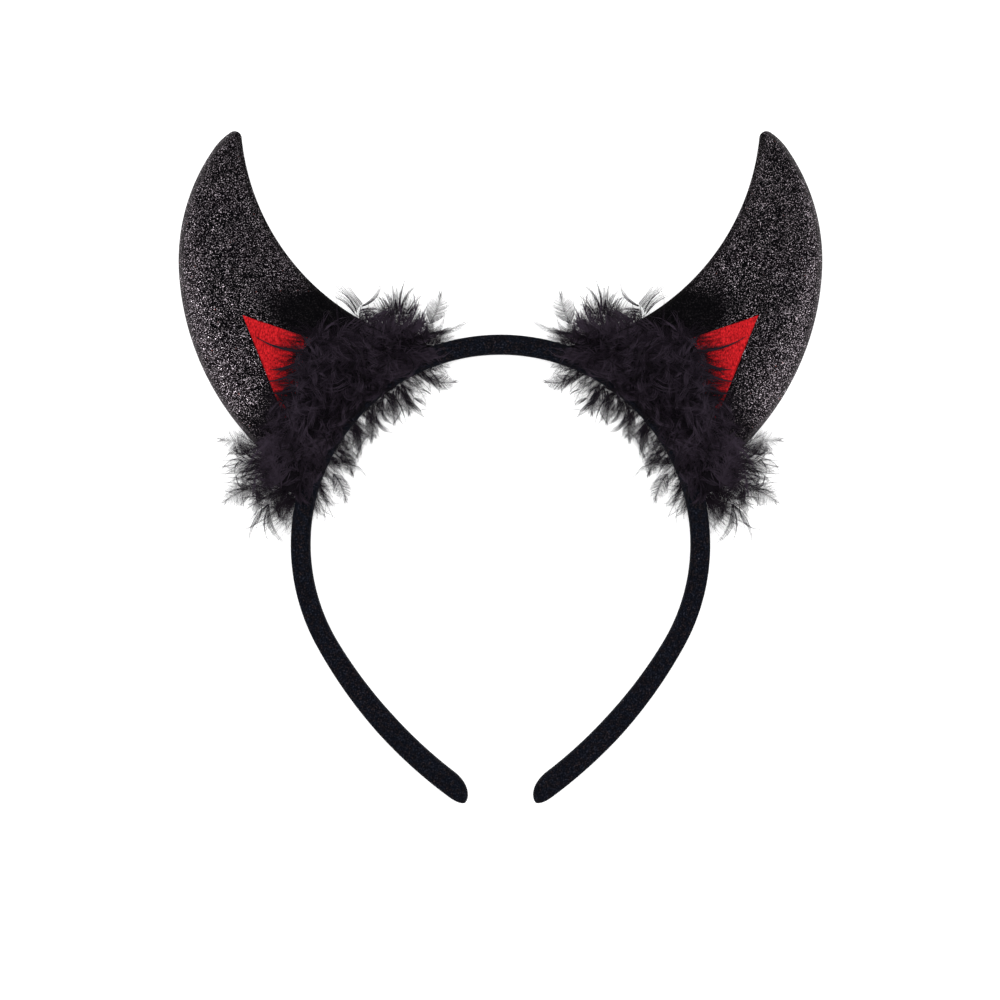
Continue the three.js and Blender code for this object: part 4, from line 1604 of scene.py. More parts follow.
@dataclass(frozen=True)
class Films:
    """Light single plumes: the range of their tone, and the spread of how far they are rolled."""

    style: PlumeStyle = PlumeStyle(
        barbs=170, barb_half=0.028, shaft_half=0.04, run=(0.26, 0.36), reach=(0.75, 1.0), clump=8,
        pull=(0.0, 0.15), curl=(0.12, 0.03), stray=0.04, first=0.2, last=0.9, peak=2.0, uneven=0.3,
        shorter=0.55, finer=0.5,
    )
    tone: Range = (0.55, 0.8)
    roll: float = 0.15
    arch: float = 1.0

    def shape(self, rows: list[RimPlume], draw: Draw) -> Shape:
        """The light plumes of a stretch of the rim.

        Args:
            rows: the plumes' places and sizes.
            draw: the random numbers.

        Returns:
            The plumes.
        """
        root = np.array([row.root_point for row in rows], dtype=float)
        tip = np.array([row.tip_point for row in rows], dtype=float)
        sway, breadth = np.array([row.sway for row in rows]), np.array([row.breadth for row in rows])
        tone, roll = draw.uniform(*self.tone, len(rows)), draw.normal(0, self.roll, len(rows))
        return Plumes.between(root, tip, sway, breadth, tone, roll, self.arch).shape(self.style, draw)


@dataclass(frozen=True)
class Leaves:
    """Main plumes, each with a few companions beside it.

    The spreads are how far a companion's root, turn in radians, rise and sway leave the main plume's, and
    length and breadth are ranges of its size as shares of that plume's.
    """

    style: PlumeStyle = PlumeStyle(
        barbs=37, barb_half=0.033, shaft_half=0.06, run=(0.22, 0.36), reach=(0.6, 1.0), clump=4,
        pull=(0.0, 0.25), curl=(0.12, 0.04), stray=0.06, last=0.88, peak=1.7, uneven=0.3,
    )
    companions: int = 2
    root_spread: Triple = (1.3, 1.3, 1.0)
    turn_spread: float = 0.28
    rise_spread: float = 1.2
    sway_spread: float = 0.08
    length: Range = (0.55, 0.95)
    breadth: Range = (0.6, 1.0)
    tone: Range = (0.3, 0.65)
    roll: float = 0.4
    arch: float = 1.0

    def plumes(self, rows: list[RimPlume], draw: Draw) -> Plumes:
        """The main plumes of a stretch of the rim and their companions.

        Args:
            rows: the main plumes' places and sizes.
            draw: the random numbers.

        Returns:
            The plumes, each main one followed by its companions.
        """
        copies = self.companions + 1
        loose = np.tile(np.arange(copies) > 0, len(rows)).astype(float)
        count = len(loose)

        def column(values: list) -> Array:
            """One row's value for the plume and for each of its companions."""
            return np.repeat(np.array(values, dtype=float), copies, axis=0)

        first_root = column([row.root_point for row in rows])
        root = first_root + loose[:, None] * draw.normal(0, self.root_spread, (count, 3))
        run = column([row.tip_point for row in rows]) - first_root
        turn = loose * draw.normal(0, self.turn_spread, count)
        scale = np.where(loose > 0, draw.uniform(*self.length, count), 1.0)
        turned = np.stack([
            run[:, 0] * np.cos(turn) - run[:, 1] * np.sin(turn),
            run[:, 0] * np.sin(turn) + run[:, 1] * np.cos(turn),
            run[:, 2] + loose * draw.normal(0, self.rise_spread, count),
        ], axis=-1)
        tip = root + turned * scale[:, None]
        sway = column([row.sway for row in rows]) + loose * draw.normal(0, self.sway_spread, count)
        breadth = column([row.breadth for row in rows])
        breadth = breadth * np.where(loose > 0, draw.uniform(*self.breadth, count), 1.0)
        tone, roll = draw.uniform(*self.tone, count), draw.normal(0, self.roll, count)
        return Plumes.between(root, tip, sway, breadth, tone, roll, self.arch)


@dataclass(frozen=True)
class Flames:
    """Narrow plumes that bend on outwards as a fountain does.

    Depth is the range of how far their roots leave their row's line, rise the mean and the spread of how
    steeply they climb, and bend the sway that comes with their lean.
    """

    style: PlumeStyle = PlumeStyle(
        barbs=26, barb_half=0.033, shaft_half=0.06, run=(0.2, 0.34), reach=(0.7, 1.0), clump=4,
        pull=(0.0, 0.2), curl=(0.0, 0.0), stray=0.06, last=0.88, uneven=0.3, barb_rings=1,
    )
    depth: Range = (-2.6, 0.8)
    rise: Range = (0.15, 0.2)
    bend: float = -0.08
    sway: float = 0.12
    tone: Range = (0.35, 0.8)
    roll: float = 0.4
    arch: float = 0.6

    def shape(self, row: FillRow, draw: Draw) -> Shape:
        """The plumes of one row.

        Args:
            row: where and how large they are.
            draw: the random numbers.

        Returns:
            The plumes.
        """
        count = row.count
        share = (np.arange(count) + draw.uniform(0, 1, count)) / count
        radius = lerp(*row.radii, share) + draw.uniform(*self.depth, count)
        plan = around_arch(radius, lerp(*row.angles, share))
        lean = draw.normal(0, 1, count)
        turn = np.radians(lerp(*row.heading, share) + row.fan * lean)
        reach = draw.uniform(*row.reach, count)
        root = lifted(plan, draw.uniform(*row.heights, count))
        tip = root + reach[:, None] * lifted(heading(turn), draw.normal(*self.rise, count))
        sway = self.bend * lean + draw.normal(0, self.sway, count)
        breadth = draw.uniform(*row.breadth, count)
        tone, roll = draw.uniform(*self.tone, count), draw.normal(0, self.roll, count)
        return Plumes.between(root, tip, sway, breadth, tone, roll, self.arch).shape(self.style, draw)


@dataclass(frozen=True)
class Blades:
    """Curved blades of barbs that have run together, and single barbs.

    Half is half the width of a blade's barbs. A blade has the least number of them and more by its breadth.
    At the root they stand closer, by root_share, and at the tip they end unevenly, by a share of its length.
    """

    half: float = 0.05
    least: int = 3
    density: float = 10.0
    root_share: float = 0.2
    root_spread: float = 0.05
    uneven: Range = (-0.06, 0.0)
    tip_spread: float = 0.08
    height_spread: float = 0.15
    arch: float = 1.0
    thickness: Range = (0.8, 1.2)
    tone: Range = (0.2, 0.7)
    rings: int = 7

    def blade(self, row: RimPlume, draw: Draw) -> Shape:
        """One blade or one single barb.

        Args:
            row: its place and size.
            draw: the random numbers.

        Returns:
            Its barbs.
        """
        single = row.lie is Lie.HAIR
        count = 1 if single else self.least + round(self.density * row.breadth)
        place = np.zeros(1) if single else np.linspace(-1.0, 1.0, count)
        root, tip = np.array(row.root), np.array(row.tip)
        run = tip - root
        sideways = unit(left_of(run))
        off = place[:, None] * row.breadth * sideways
        bow = (root + tip) / 2 + 2 * row.sway * np.linalg.norm(run) * sideways + off
        roots = root + self.root_share * off + draw.normal(0, self.root_spread, (count, 2))
        tips = tip + draw.uniform(*self.uneven, count)[:, None] * run
        tips = tips + draw.normal(0, self.tip_spread, (count, 2))
        low, high = row.heights
        ends = [
            lifted(plan, height + draw.normal(0, self.height_spread, count))
            for plan, height in ((roots, low), (bow, (low + high) / 2 + self.arch), (tips, high))
        ]
        half = (row.breadth / 2 if single else self.half) * draw.uniform(*self.thickness, count)
        return Strands(*ends, half, draw.uniform(*self.tone, count)).shape(self.rings)

    def shape(self, rows: tuple[RimPlume, ...], draw: Draw) -> Shape:
        """The blades and single barbs among some plumes."""
        chosen = [row for row in rows if row.lie in (Lie.BLADE, Lie.HAIR)]
        return Shape.joined([self.blade(row, draw) for row in chosen])


@dataclass(frozen=True)
class Hairs:
    """Fine single hairs.

    Rise is the mean and the spread of how steeply they climb, and bend the spread of how far they bow.
    """

    half: float
    rise: Range
    rings: int
    bend: float = 0.25
    thickness: Range = (0.7, 1.3)
    tone: Range = (0.3, 0.9)

    def shape(self, root: Array, turn: Array, reach: Range, draw: Draw) -> Shape:
        """Hairs that grow from some roots.

        Args:
            root: points of the roots.
            turn: the directions of the hairs in plan, in radians.
            reach: the range of their lengths.
            draw: the random numbers.

        Returns:
            The hairs.
        """
        count = len(root)
        run = lifted(heading(turn), draw.normal(*self.rise, count))
        run = run * draw.uniform(*reach, count)[:, None]
        bow = root + run / 2 + left_of(run) * draw.normal(0, self.bend, count)[:, None]
        half = self.half * draw.uniform(*self.thickness, count)
        return Strands(root, bow, root + run, half, draw.uniform(*self.tone, count)).shape(self.rings)


@dataclass(frozen=True)
class LockStyle:
    """Locks of hair: how many, how many hairs each, and their half width, spread, length and tone.

    A range or spread that ends in each is how far a hair leaves its lock, and the others are the locks' own.
    Rises are ranges of height over the fleece at a hair's root, bow and tip.
    """

    locks: int
    hairs: int
    half: float
    spread: float
    length: Range
    tone: Range
    margin: float = 1.5
    past_inner: float = 0.5
    past_outer: float = 1.0
    bend: float = 0.3
    rises: tuple[Range, Range, Range] = ((0.3, 1.5), (1.5, 4.0), (0.5, 3.0))
    turn_each: float = 0.14
    length_each: Range = (0.7, 1.1)
    bend_each: float = 0.06
    rise_each: float = 0.2
    tone_each: float = 0.06
    half_each: Range = (0.7, 1.2)
    rings: int = 5


@dataclass(frozen=True)
class HairRow:
    """Fine hairs out of the fleece's edge: how many, the angles that they stand at, and their size.

    Lean is the mean and the spread of how far they turn from straight outwards, in degrees, and rooted the
    range of how far inside the edge they start. They rise over the fleece, at their bow more than at
    their ends.
    """

    count: int
    angles: Range
    half: float
    length: Range
    lean: Range
    rooted: Range
    bend: float = 0.22
    end_rise: Range = (0.3, 1.0)
    bow_rise: Range = (0.8, 3.0)
    thickness: Range = (0.6, 1.3)
    tone: Range = (0.1, 0.5)
    rings: int = 5


@dataclass(frozen=True)
class FleeceTone:
    """How light a plume of the fleece is, by the angle and radius round the arch that it stands at.

    Each is drawn from a range. Those at the low end are lighter, a painted light where the fleece faces the
    light, but less so far out and not over the band's leg, those at the upper end a little lighter, and
    those by the band between the two ends are darker.
    """

    drawn: Range = (0.2, 1.05)
    low_end: float = 0.6
    low_angles: Range = (50.0, 70.0)
    far_out: float = 0.6
    far_radii: Range = (67.0, 73.0)
    leg: float = 0.7
    leg_angles: Range = (64.0, 70.0)
    leg_radii: Range = (60.0, 65.0)
    upper_end: float = 0.3
    upper_angles: Range = (26.0, 40.0)
    band: float = 0.45
    band_from: Range = (36.0, 44.0)
    band_to: Range = (56.0, 64.0)
    band_radii: Range = (59.0, 66.0)

    def at(self, angle: Array, radius: Array, draw: Draw) -> Array:
        """Tones for some plumes.

        Args:
            angle: the plumes' angles.
            radius: their radii.
            draw: the random numbers.

        Returns:
            The tones.
        """
        inside = 1.0 - self.far_out * smoothstep(*self.far_radii, radius)
        low = smoothstep(*self.low_angles, angle) * inside
        # Painted light: the plumes at the low end are lighter.
        tone = draw.uniform(*self.drawn, len(angle)) + self.low_end * low
        over_leg = smoothstep(*self.leg_angles, angle)
        tone = tone - self.leg * over_leg * (1.0 - smoothstep(*self.leg_radii, radius))
        tone = tone + self.upper_end * (1.0 - smoothstep(*self.upper_angles, angle))
        by_band = (1.0 - smoothstep(*self.band_radii, radius)) * smoothstep(*self.band_from, angle)
        return tone - self.band * by_band * (1.0 - smoothstep(*self.band_to, angle))


@dataclass(frozen=True)
class Lying:
    """Short plumes that lie this way and that, out over the horn and in to the band's edge.

    Those inside the fleece's middle line by more than divide head inwards, and the others outwards. Shares
    are how far up through the fleece an end is, rises how far it is above that, and inset how far a tip
    keeps inside the edge, as a mean and a spread.
    """

    count: int = 340
    margin: float = 3.0
    divide: float = 1.0
    turn: float = 0.95
    reach: Range = (6.5, 12.5)
    inset: Range = (1.5, 1.0)
    root_share: Range = (0.0, 0.7)
    root_rise: Range = (0.2, 1.0)
    tip_share: Range = (0.3, 1.0)
    tip_rise: Range = (0.3, 1.8)
    sway: float = 0.2
    breadth: Range = (3.0, 6.0)
    roll: float = 0.7
    arch: Range = (0.5, 3.5)
    tone: FleeceTone = FleeceTone()


@dataclass(frozen=True)
class Standing:
    """Plumes that stand up out of the fleece, with shares and rises as those that lie have."""

    count: int = 70
    margin: float = 8.0
    reach: Range = (2.0, 6.5)
    root_share: float = 0.4
    tip_rise: Range = (1.5, 6.0)
    sway: float = 0.2
    breadth: Range = (3.0, 5.0)
    tone: Range = (0.1, 0.9)
    arch: Range = (0.0, 2.0)


@dataclass
class Ground:
    """The front surface that the feathers lie on: the band, the horn and its patch."""

    band: Band
    form: HornForm
    patch: FeltPatch
    past_edge: float = 8.0

    def height(self, plan: Array) -> Array:
        """Heights of the surface under plan points of the left half.

        Args:
            plan: plan points.

        Returns:
            Heights, which past the edges stay at a set value.
        """
        radius = np.linalg.norm(plan - ARCH_CENTRE, axis=-1)
        on_band = np.abs(radius - self.band.mid_radius) <= self.form.foot_radius - self.band.mid_radius
        along, across = self.form.shares(plan)
        on_horn = (radius > self.form.foot_radius) & (along < 1.0) & (across > 0.0) & (across < 1.0)
        along, across = np.where(on_horn, along, 0.0), np.where(on_horn, across, 0.5)
        horn = self.form.mid_height + self.form.swell(np.maximum(along, 0.0), across)
        felt = np.where(self.patch.covers(plan), self.patch.lift + self.patch.thickness, 0.0)
        height = np.where(on_horn, horn + felt, np.where(on_band, self.band.depth, 0.0))
        return np.maximum(height, self.past_edge)


@dataclass
class Fleece:
    """The front of the marabou strip: a soft core under short plumes, locks and fine hairs.

    The fleece lies between an inner radius and an outer edge, which is given by radii at angles round the
    arch, and is deepest along its middle line, at radius.
    """

    ground: Ground
    radius: float = 64.5
    inner: float = 57.0
    from_angle: float = 20.5
    to_angle: float = 76.0
    edge_angles: tuple[float, ...] = (
        20.5, 25.0, 30.0, 35.0, 39.0, 42.0, 45.0, 49.0, 54.0, 58.0, 63.0, 67.0, 71.0, 76.0,
    )
    edge_radii: tuple[float, ...] = (
        69.5, 74.3, 76.0, 77.4, 79.5, 83.0, 84.0, 79.5, 76.8, 75.4, 77.5, 77.3, 73.2, 71.5,
    )
    depth: float = 7.0
    depth_reach: float = 7.0
    end_depth: float = 0.35
    end_stretch: float = 0.2
    end_room: float = 2.0
    lowest: float = 0.8
    highest: float = 22.5
    core_inner: float = 57.4
    core_margin: float = 3.8
    core_rise: float = 2.4
    core_gap: float = 0.1
    core_end_share: float = 0.6
    core_end_power: int = 4
    core_stations: int = 60
    core_places: int = 13
    core_tone: float = 0.05
    area_steps: int = 200
    style: PlumeStyle = PlumeStyle(
        barbs=14, barb_half=0.10, shaft_half=0.12, run=(0.25, 0.6), reach=(0.3, 1.0), clump=4,
        pull=(0.2, 0.9), curl=(0.12, 0.16), stray=0.2, last=0.8, shorter=0.0, finer=1.0,
    )
    lying: Lying = Lying()
    standing: Standing = Standing()
    locks: tuple[LockStyle, ...] = (
        LockStyle(110, 6, 0.09, 0.5, (4.0, 9.0), (0.55, 1.25)),
        LockStyle(64, 1, 0.16, 0.0, (6.0, 11.0), (0.0, 0.0)),
    )
    edge_hairs: tuple[HairRow, ...] = (
        HairRow(400, (23.0, 78.0), 0.055, (3.5, 8.5), (6.0, 28.0), (1.0, 5.0)),
        HairRow(320, (38.0, 60.0), 0.045, (5.0, 11.0), (38.0, 14.0), (1.0, 4.0)),
    )
    blades: Blades = Blades(half=0.15)

    def edge(self, angle: Array) -> Array:
        """The outer edge's radii at angles round the arch."""
        return np.interp(angle, self.edge_angles, self.edge_radii)

    def cover(self, plan: Array) -> Array:
        """How deep the fleece lies: deepest along its middle line, thin at its edges and ends.

        Args:
            plan: plan points.

        Returns:
            Depths.
        """
        offset = plan - ARCH_CENTRE
        station = (arch_angle(offset) - self.from_angle) / (self.to_angle - self.from_angle)
        ends = smoothstep(0.0, self.end_stretch, np.minimum(station, 1.0 - station))
        from_middle = (np.linalg.norm(offset, axis=-1) - self.radius) / self.depth_reach
        return self.depth * np.exp(-(from_middle**2)) * lerp(self.end_depth, 1.0, ends)

    def raised(self, plan: Array, share: Values, rise: Values) -> Array:
        """Points over plan points, a share of the way up through the fleece and a rise above that."""
        height = self.ground.height(plan) + self.cover(plan) * share + rise
        return lifted(plan, np.clip(height, self.lowest, self.highest))

    def held(self, plan: Array, inner: float, outer: Values) -> Array:
        """Plan points moved to keep them on the fleece.

        Args:
            plan: plan points.
            inner: the least radius that they keep.
            outer: the greatest radius that they keep.

        Returns:
            The points, between the two radii and not far past the fleece's ends.
        """
        offset = plan - ARCH_CENTRE
        radius = np.clip(np.linalg.norm(offset, axis=1), inner, outer)
        angle = np.clip(arch_angle(offset), self.from_angle - self.end_room, self.to_angle + self.end_room)
        return around_arch(radius, angle)

    def places(self, count: int, margin: float, draw: Draw) -> tuple[Array, Array, Array]:
        """Places spread evenly over the fleece.

        Args:
            count: how many.
            margin: how far they keep inside the fleece's outer edge.
            draw: the random numbers.

        Returns:
            The places' angles and radii, and the fleece's outer radius at each.
        """
        grid = np.linspace(self.from_angle, self.to_angle, self.area_steps)
        share = np.cumsum((self.edge(grid) - margin) ** 2 - self.inner**2)
        angle = np.interp((np.arange(count) + draw.uniform(0, 1, count)) / count, share / share[-1], grid)
        outer = self.edge(angle)
        radius = np.sqrt(lerp(self.inner**2, (outer - margin) ** 2, draw.uniform(0, 1, count)))
        return angle, radius, outer

    def core(self) -> Shape:
        """The soft pad that the plumes grow from, laid over the band, the horn and the patch's foot.

        Returns:
            The pad, with its tone marked.
        """
        station = np.linspace(0.0, 1.0, self.core_stations)[:, None]
        place = np.linspace(-1.0, 1.0, self.core_places)[None]
        angle = lerp(self.from_angle, self.to_angle, station)
        size = lerp(1.0, self.core_end_share, np.abs(2 * station - 1) ** self.core_end_power)
        outer = self.edge(angle) - self.core_margin
        middle, half = (outer + self.core_inner) / 2, (outer - self.core_inner) / 2
        plan = around_arch(middle + half * size * place, angle)
        base = self.ground.height(plan) + self.core_gap
        top = lifted(plan, base + self.core_rise * size * np.sqrt(1.0 - place**2))
        rings = np.concatenate([lifted(plan, base), top[:, -2:0:-1]], axis=1)
        pad = skin(rings, rings[0].mean(axis=0), rings[-1].mean(axis=0))
        pad.marks["tone"] = np.full(len(pad.points), self.core_tone)
        return pad

    def lying_plumes(self, draw: Draw) -> Plumes:
        """The short plumes all over the core.

        Args:
            draw: the random numbers.

        Returns:
            The plumes.
        """
        kind, count = self.lying, self.lying.count
        angle, radius, outer = self.places(count, kind.margin, draw)
        plan = around_arch(radius, angle)
        inward = np.where(radius > self.radius - kind.divide, 0.0, math.pi)
        turn = math.pi / 2 + np.radians(angle) + inward + draw.normal(0, kind.turn, count)
        tip_plan = plan + draw.uniform(*kind.reach, count)[:, None] * heading(turn)
        tip_plan = self.held(tip_plan, self.inner, outer - draw.normal(*kind.inset, count))
        root_share, root_rise = draw.uniform(*kind.root_share, count), draw.uniform(*kind.root_rise, count)
        tip_share, tip_rise = draw.uniform(*kind.tip_share, count), draw.uniform(*kind.tip_rise, count)
        root = self.raised(plan, root_share, root_rise)
        tip = self.raised(tip_plan, tip_share, tip_rise)
        sway, breadth = draw.normal(0, kind.sway, count), draw.uniform(*kind.breadth, count)
        tone = kind.tone.at(angle, radius, draw)
        roll, arch = draw.normal(0, kind.roll, count), draw.uniform(*kind.arch, count)
        return Plumes.between(root, tip, sway, breadth, tone, roll, arch)

    def standing_plumes(self, draw: Draw) -> Plumes:
        """The plumes that stand up out of the fleece.

        Args:
            draw: the random numbers.

        Returns:
            The plumes.
        """
        kind, count = self.standing, self.standing.count
        angle, radius, _ = self.places(count, kind.margin, draw)
        plan = around_arch(radius, angle)
        ahead = heading(draw.uniform(0, FULL_TURN, count))
        tip_plan = plan + draw.uniform(*kind.reach, count)[:, None] * ahead
        tip_plan = self.held(tip_plan, self.inner, self.radius + self.depth_reach)
        root = self.raised(plan, kind.root_share, 0.0)
        tip = self.raised(tip_plan, 1.0, draw.uniform(*kind.tip_rise, count))
        sway, breadth = draw.normal(0, kind.sway, count), draw.uniform(*kind.breadth, count)
        tone, roll = draw.uniform(*kind.tone, count), draw.uniform(0, math.pi, count)
        return Plumes.between(root, tip, sway, breadth, tone, roll, draw.uniform(*kind.arch, count))

    def lock_hairs(self, style: LockStyle, draw: Draw) -> Shape:
        """Locks of hair that lie on top of the fleece in curves.

        Args:
            style: what the locks are like.
            draw: the random numbers.

        Returns:
            The hairs.
        """
        owner = np.repeat(np.arange(style.locks), style.hairs)
        count = len(owner)
        angle, radius, outer = (value[owner] for value in self.places(style.locks, style.margin, draw))
        turn = draw.uniform(0, FULL_TURN, style.locks)[owner] + draw.normal(0, style.turn_each, count)
        length = draw.uniform(*style.length, style.locks)[owner] * draw.uniform(*style.length_each, count)
        bend = draw.normal(0, style.bend, style.locks)[owner] + draw.normal(0, style.bend_each, count)
        run = heading(turn) * length[:, None]
        middle = around_arch(radius, angle) + draw.normal(0, style.spread, (count, 2))
        ends = []
        plans = (middle - run / 2, middle + left_of(run) * bend[:, None], middle + run / 2)
        for plan, rise in zip(plans, style.rises):
            spot = self.held(plan, self.inner - style.past_inner, outer + style.past_outer)
            level = draw.uniform(*rise, style.locks)[owner] + draw.normal(0, style.rise_each, count)
            ends.append(self.raised(spot, 1.0, level))
        half = style.half * draw.uniform(*style.half_each, count)
        tone = draw.uniform(*style.tone, style.locks)[owner] + draw.normal(0, style.tone_each, count)
        return Strands(*ends, half, tone).shape(style.rings)

    def stray_hairs(self, row: HairRow, draw: Draw) -> Shape:
        """Fine hairs that reach out of the fleece over the horn and the patch.

        Args:
            row: what the hairs are like.
            draw: the random numbers.

        Returns:
            The hairs.
        """
        count = row.count
        angle = draw.uniform(*row.angles, count)
        root = around_arch(self.edge(angle) - draw.uniform(*row.rooted, count), angle)
        turn = np.radians(90.0 + angle + draw.normal(*row.lean, count))
        run = heading(turn) * draw.uniform(*row.length, count)[:, None]
        bow = root + run / 2 + left_of(run) * draw.normal(0, row.bend, count)[:, None]
        stretches = ((root, row.end_rise), (bow, row.bow_rise), (root + run, row.end_rise))
        ends = [self.raised(plan, 1.0, draw.uniform(*rise, count)) for plan, rise in stretches]
        half = row.half * draw.uniform(*row.thickness, count)
        return Strands(*ends, half, draw.uniform(*row.tone, count)).shape(row.rings)

    def shape(self, draw: Draw) -> Shape:
        """The whole fleece.

        Args:
            draw: the random numbers.

        Returns:
            The core, the plumes, the locks, the fine hairs and the blades over the patch.
        """
        lying, standing = self.lying_plumes(draw), self.standing_plumes(draw)
        return Shape.joined([
            self.core(),
            lying.shape(self.style, draw),
            standing.shape(self.style, draw),
            *(self.lock_hairs(style, draw) for style in self.locks),
            *(self.stray_hairs(row, draw) for row in self.edge_hairs),
            self.blades.shape(OVER_PATCH, draw),
        ])


@dataclass
class FeatherTrim:
    """The marabou strip round the foot of a horn: a fleece on its front and plumes round its rim.

    Down_depth is the range of how far the down's roots leave their row's line. Wisps are single barbs that
    have come loose from the main plumes: how many, the range of shares along a shaft that they leave it at,
    the spread of their turn in radians and the range of their reach.
    """

    fleece: Fleece
    films: Films = Films()
    leaves: Leaves = Leaves()
    flames: Flames = Flames()
    blades: Blades = Blades()
    down: Hairs = Hairs(half=0.03, rise=(0.15, 0.2), rings=2)
    down_depth: Range = (-0.8, 0.8)
    loose: Hairs = Hairs(half=0.04, rise=(0.0, 0.25), rings=5)
    wisps: int = 90
    wisp_share: Range = (0.3, 1.0)
    wisp_turn: float = 0.7
    wisp_reach: Range = (3.0, 7.0)
    seed: int = 23

    def down_hairs(self, row: DownRow, draw: Draw) -> Shape:
        """The fine down along a stretch of the rim.

        Args:
            row: where and how long it is.
            draw: the random numbers.

        Returns:
            The hairs.
        """
        count = row.count
        share = draw.uniform(0, 1, count)
        radius = lerp(*row.radii, share) + draw.uniform(*self.down_depth, count)
        plan = around_arch(radius, lerp(*row.angles, share))
        turn = np.radians(lerp(*row.heading, share) + row.fan * draw.normal(0, 1, count))
        return self.down.shape(lifted(plan, draw.uniform(*row.heights, count)), turn, row.reach, draw)

    def loose_hairs(self, leaves: Plumes, draw: Draw) -> Shape:
        """Single fine barbs that have come loose from some plumes.

        Args:
            leaves: the plumes that they come from.
            draw: the random numbers.

        Returns:
            The hairs.
        """
        owners = leaves.chosen(draw.integers(0, len(leaves.root), self.wisps))
        root, ahead = (value[:, 0] for value in owners.at(draw.uniform(*self.wisp_share, (self.wisps, 1))))
        turn = np.arctan2(ahead[:, 1], ahead[:, 0]) + draw.normal(0, self.wisp_turn, self.wisps)
        return self.loose.shape(root, turn, self.wisp_reach, draw)

    def rim(self, group: RimGroup) -> Shape:
        """The plumes along one stretch of the rim.

        Args:
            group: the stretch.

        Returns:
            All its plumes, blades and hairs.
        """
        draw = np.random.default_rng(group.seed)
        leaves = self.leaves.plumes(group.of(Lie.LEAF), draw)
        return Shape.joined([
            leaves.shape(self.leaves.style, draw),
            self.films.shape(group.of(Lie.FILM), draw),
            *(self.flames.shape(row, draw) for row in group.fill),
            self.blades.shape(group.plumes, draw),
            self.down_hairs(group.down, draw),
            self.loose_hairs(leaves, draw),
        ])

    def build(self, side: Side) -> list[bpy.types.Object]:
        """Makes one half's trim in place of its solid.

        Args:
            side: which half.

        Returns:
            The fleece and the plumes round the rim, with nothing below the height that they keep.
        """
        shapes = {"marabou_fleece": self.fleece.shape(np.random.default_rng(self.seed))}
        shapes |= {group.name: self.rim(group) for group in RIM_GROUPS}
        made = []
        for name, shape in shapes.items():
            shape.points[:, 2] = np.maximum(shape.points[:, 2], self.fleece.lowest)
            piece = shape.on(side).piece(f"{name}_{side.word}", DOWN, "marabou")
            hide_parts(f"feather_trim_{side.word}")
            made.append(piece)
        return made


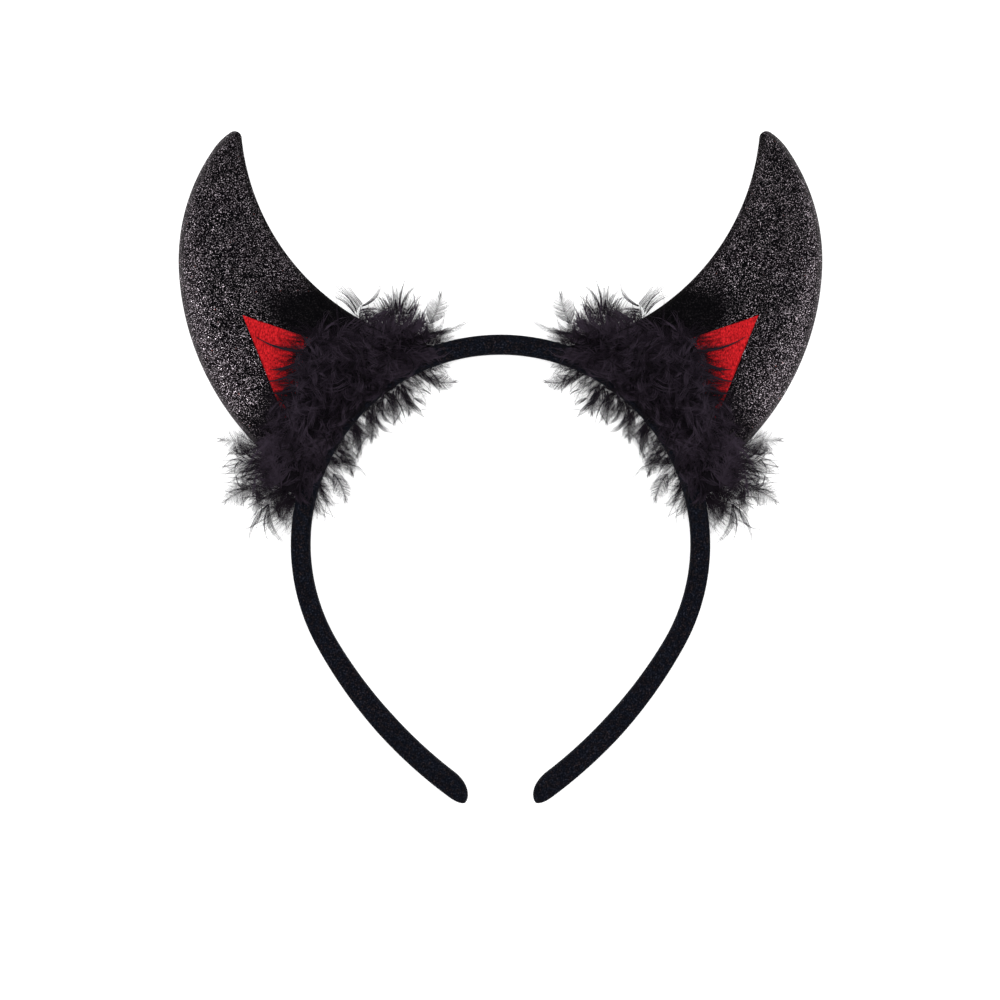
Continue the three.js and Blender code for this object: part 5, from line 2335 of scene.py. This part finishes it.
@dataclass
class Studio:
    """A white floor, soft light from all round and above, and a camera straight over the headband.

    Sizes and places are in metres, but for the camera's sensor and the height in the headband that the
    picture's scale holds at, which are in millimetres. A side light's place is that of the right-hand one.
    """

    millimetres_a_pixel: float = 0.289
    picture_pixels: int = 1000
    origin_pixel: PlanPoint = (500.5, 467.0)
    camera_height: float = 1.6
    sensor: float = 36.0
    object_height: float = 7.0
    floor_size: float = 6.0
    floor_gap: float = 0.0002
    sky: float = 0.55
    top_light: float = 60.0
    top_place: Triple = (0.0, 0.15, 2.6)
    top_size: float = 1.2
    side_light: float = 1.5
    side_place: Triple = (0.9, -0.15, 0.5)
    side_size: float = 0.5

    def floor(self) -> None:
        """Lays the floor just under the headband."""
        mesh = bpy.data.meshes.new("floor")
        half = self.floor_size / 2
        corners = [(-half, -half, 0), (half, -half, 0), (half, half, 0), (-half, half, 0)]
        mesh.from_pydata(corners, [], [(0, 1, 2, 3)])
        mesh.materials.append(PAPER.material())
        floor = bpy.data.objects.new("floor", mesh)
        floor.location.z = -self.floor_gap
        bpy.context.scene.collection.objects.link(floor)

    def lamp(self, name: str, place: Triple, size: float, power: float) -> None:
        """Hangs a square soft light that faces the headband.

        Args:
            name: the light's name.
            place: where it hangs.
            size: its side.
            power: its power, in watts.
        """
        light = bpy.data.lights.new(name, "AREA")
        light.size = size
        light.energy = power
        lamp = bpy.data.objects.new(name, light)
        lamp.location = place
        lamp.rotation_euler = (-Vector(place)).to_track_quat("-Z", "Y").to_euler()
        bpy.context.scene.collection.objects.link(lamp)

    def lights(self) -> None:
        """Sets a white sky, one large light above and one low light on each side."""
        world = bpy.data.worlds.new("white_room")
        world.use_nodes = True
        background = world.node_tree.nodes["Background"]
        background.inputs["Color"].default_value = (1.0, 1.0, 1.0, 1.0)
        background.inputs["Strength"].default_value = self.sky
        bpy.context.scene.world = world
        self.lamp("top_light", self.top_place, self.top_size, self.top_light)
        across, along, height = self.side_place
        for side in Side:
            place = (side.value * across, along, height)
            self.lamp(f"side_light_{side.word}", place, self.side_size, self.side_light)

    def camera(self) -> None:
        """Looks straight down, with the photograph's scale and framing."""
        data = bpy.data.cameras.new("camera")
        data.sensor_width = self.sensor
        frame_width = self.millimetres_a_pixel * self.picture_pixels * MM
        data.lens = self.sensor * (self.camera_height - self.object_height * MM) / frame_width
        camera = bpy.data.objects.new("camera", data)
        middle = self.picture_pixels / 2
        x = (middle - self.origin_pixel[0]) * self.millimetres_a_pixel * MM
        y = (self.origin_pixel[1] - middle) * self.millimetres_a_pixel * MM
        camera.location = (x, y, self.camera_height)
        bpy.context.scene.collection.objects.link(camera)
        bpy.context.scene.camera = camera

    def build(self) -> None:
        """Sets up the floor, the lights, the camera and plain colour."""
        self.floor()
        self.lights()
        self.camera()
        bpy.context.scene.view_settings.view_transform = "Standard"


def main() -> None:
    """Builds the studio and the headband's pieces in order, and reports each piece."""
    logging.basicConfig(level=logging.INFO, format="%(name)s %(message)s")
    Studio().build()
    band, form = Band(), HornForm()
    horn, patch = Horn(form), FeltPatch(form)
    trim = FeatherTrim(Fleece(Ground(band, form, patch)))
    pieces = [band.build()]
    for side in Side:
        pieces += [horn.build(side), patch.build(side), *trim.build(side)]
    for piece in pieces:
        triangles = len(piece.data.loops) - 2 * len(piece.data.polygons)
        LOG.info("%s: %d triangles", piece.name, triangles)


if __name__ == "__main__":
    main()
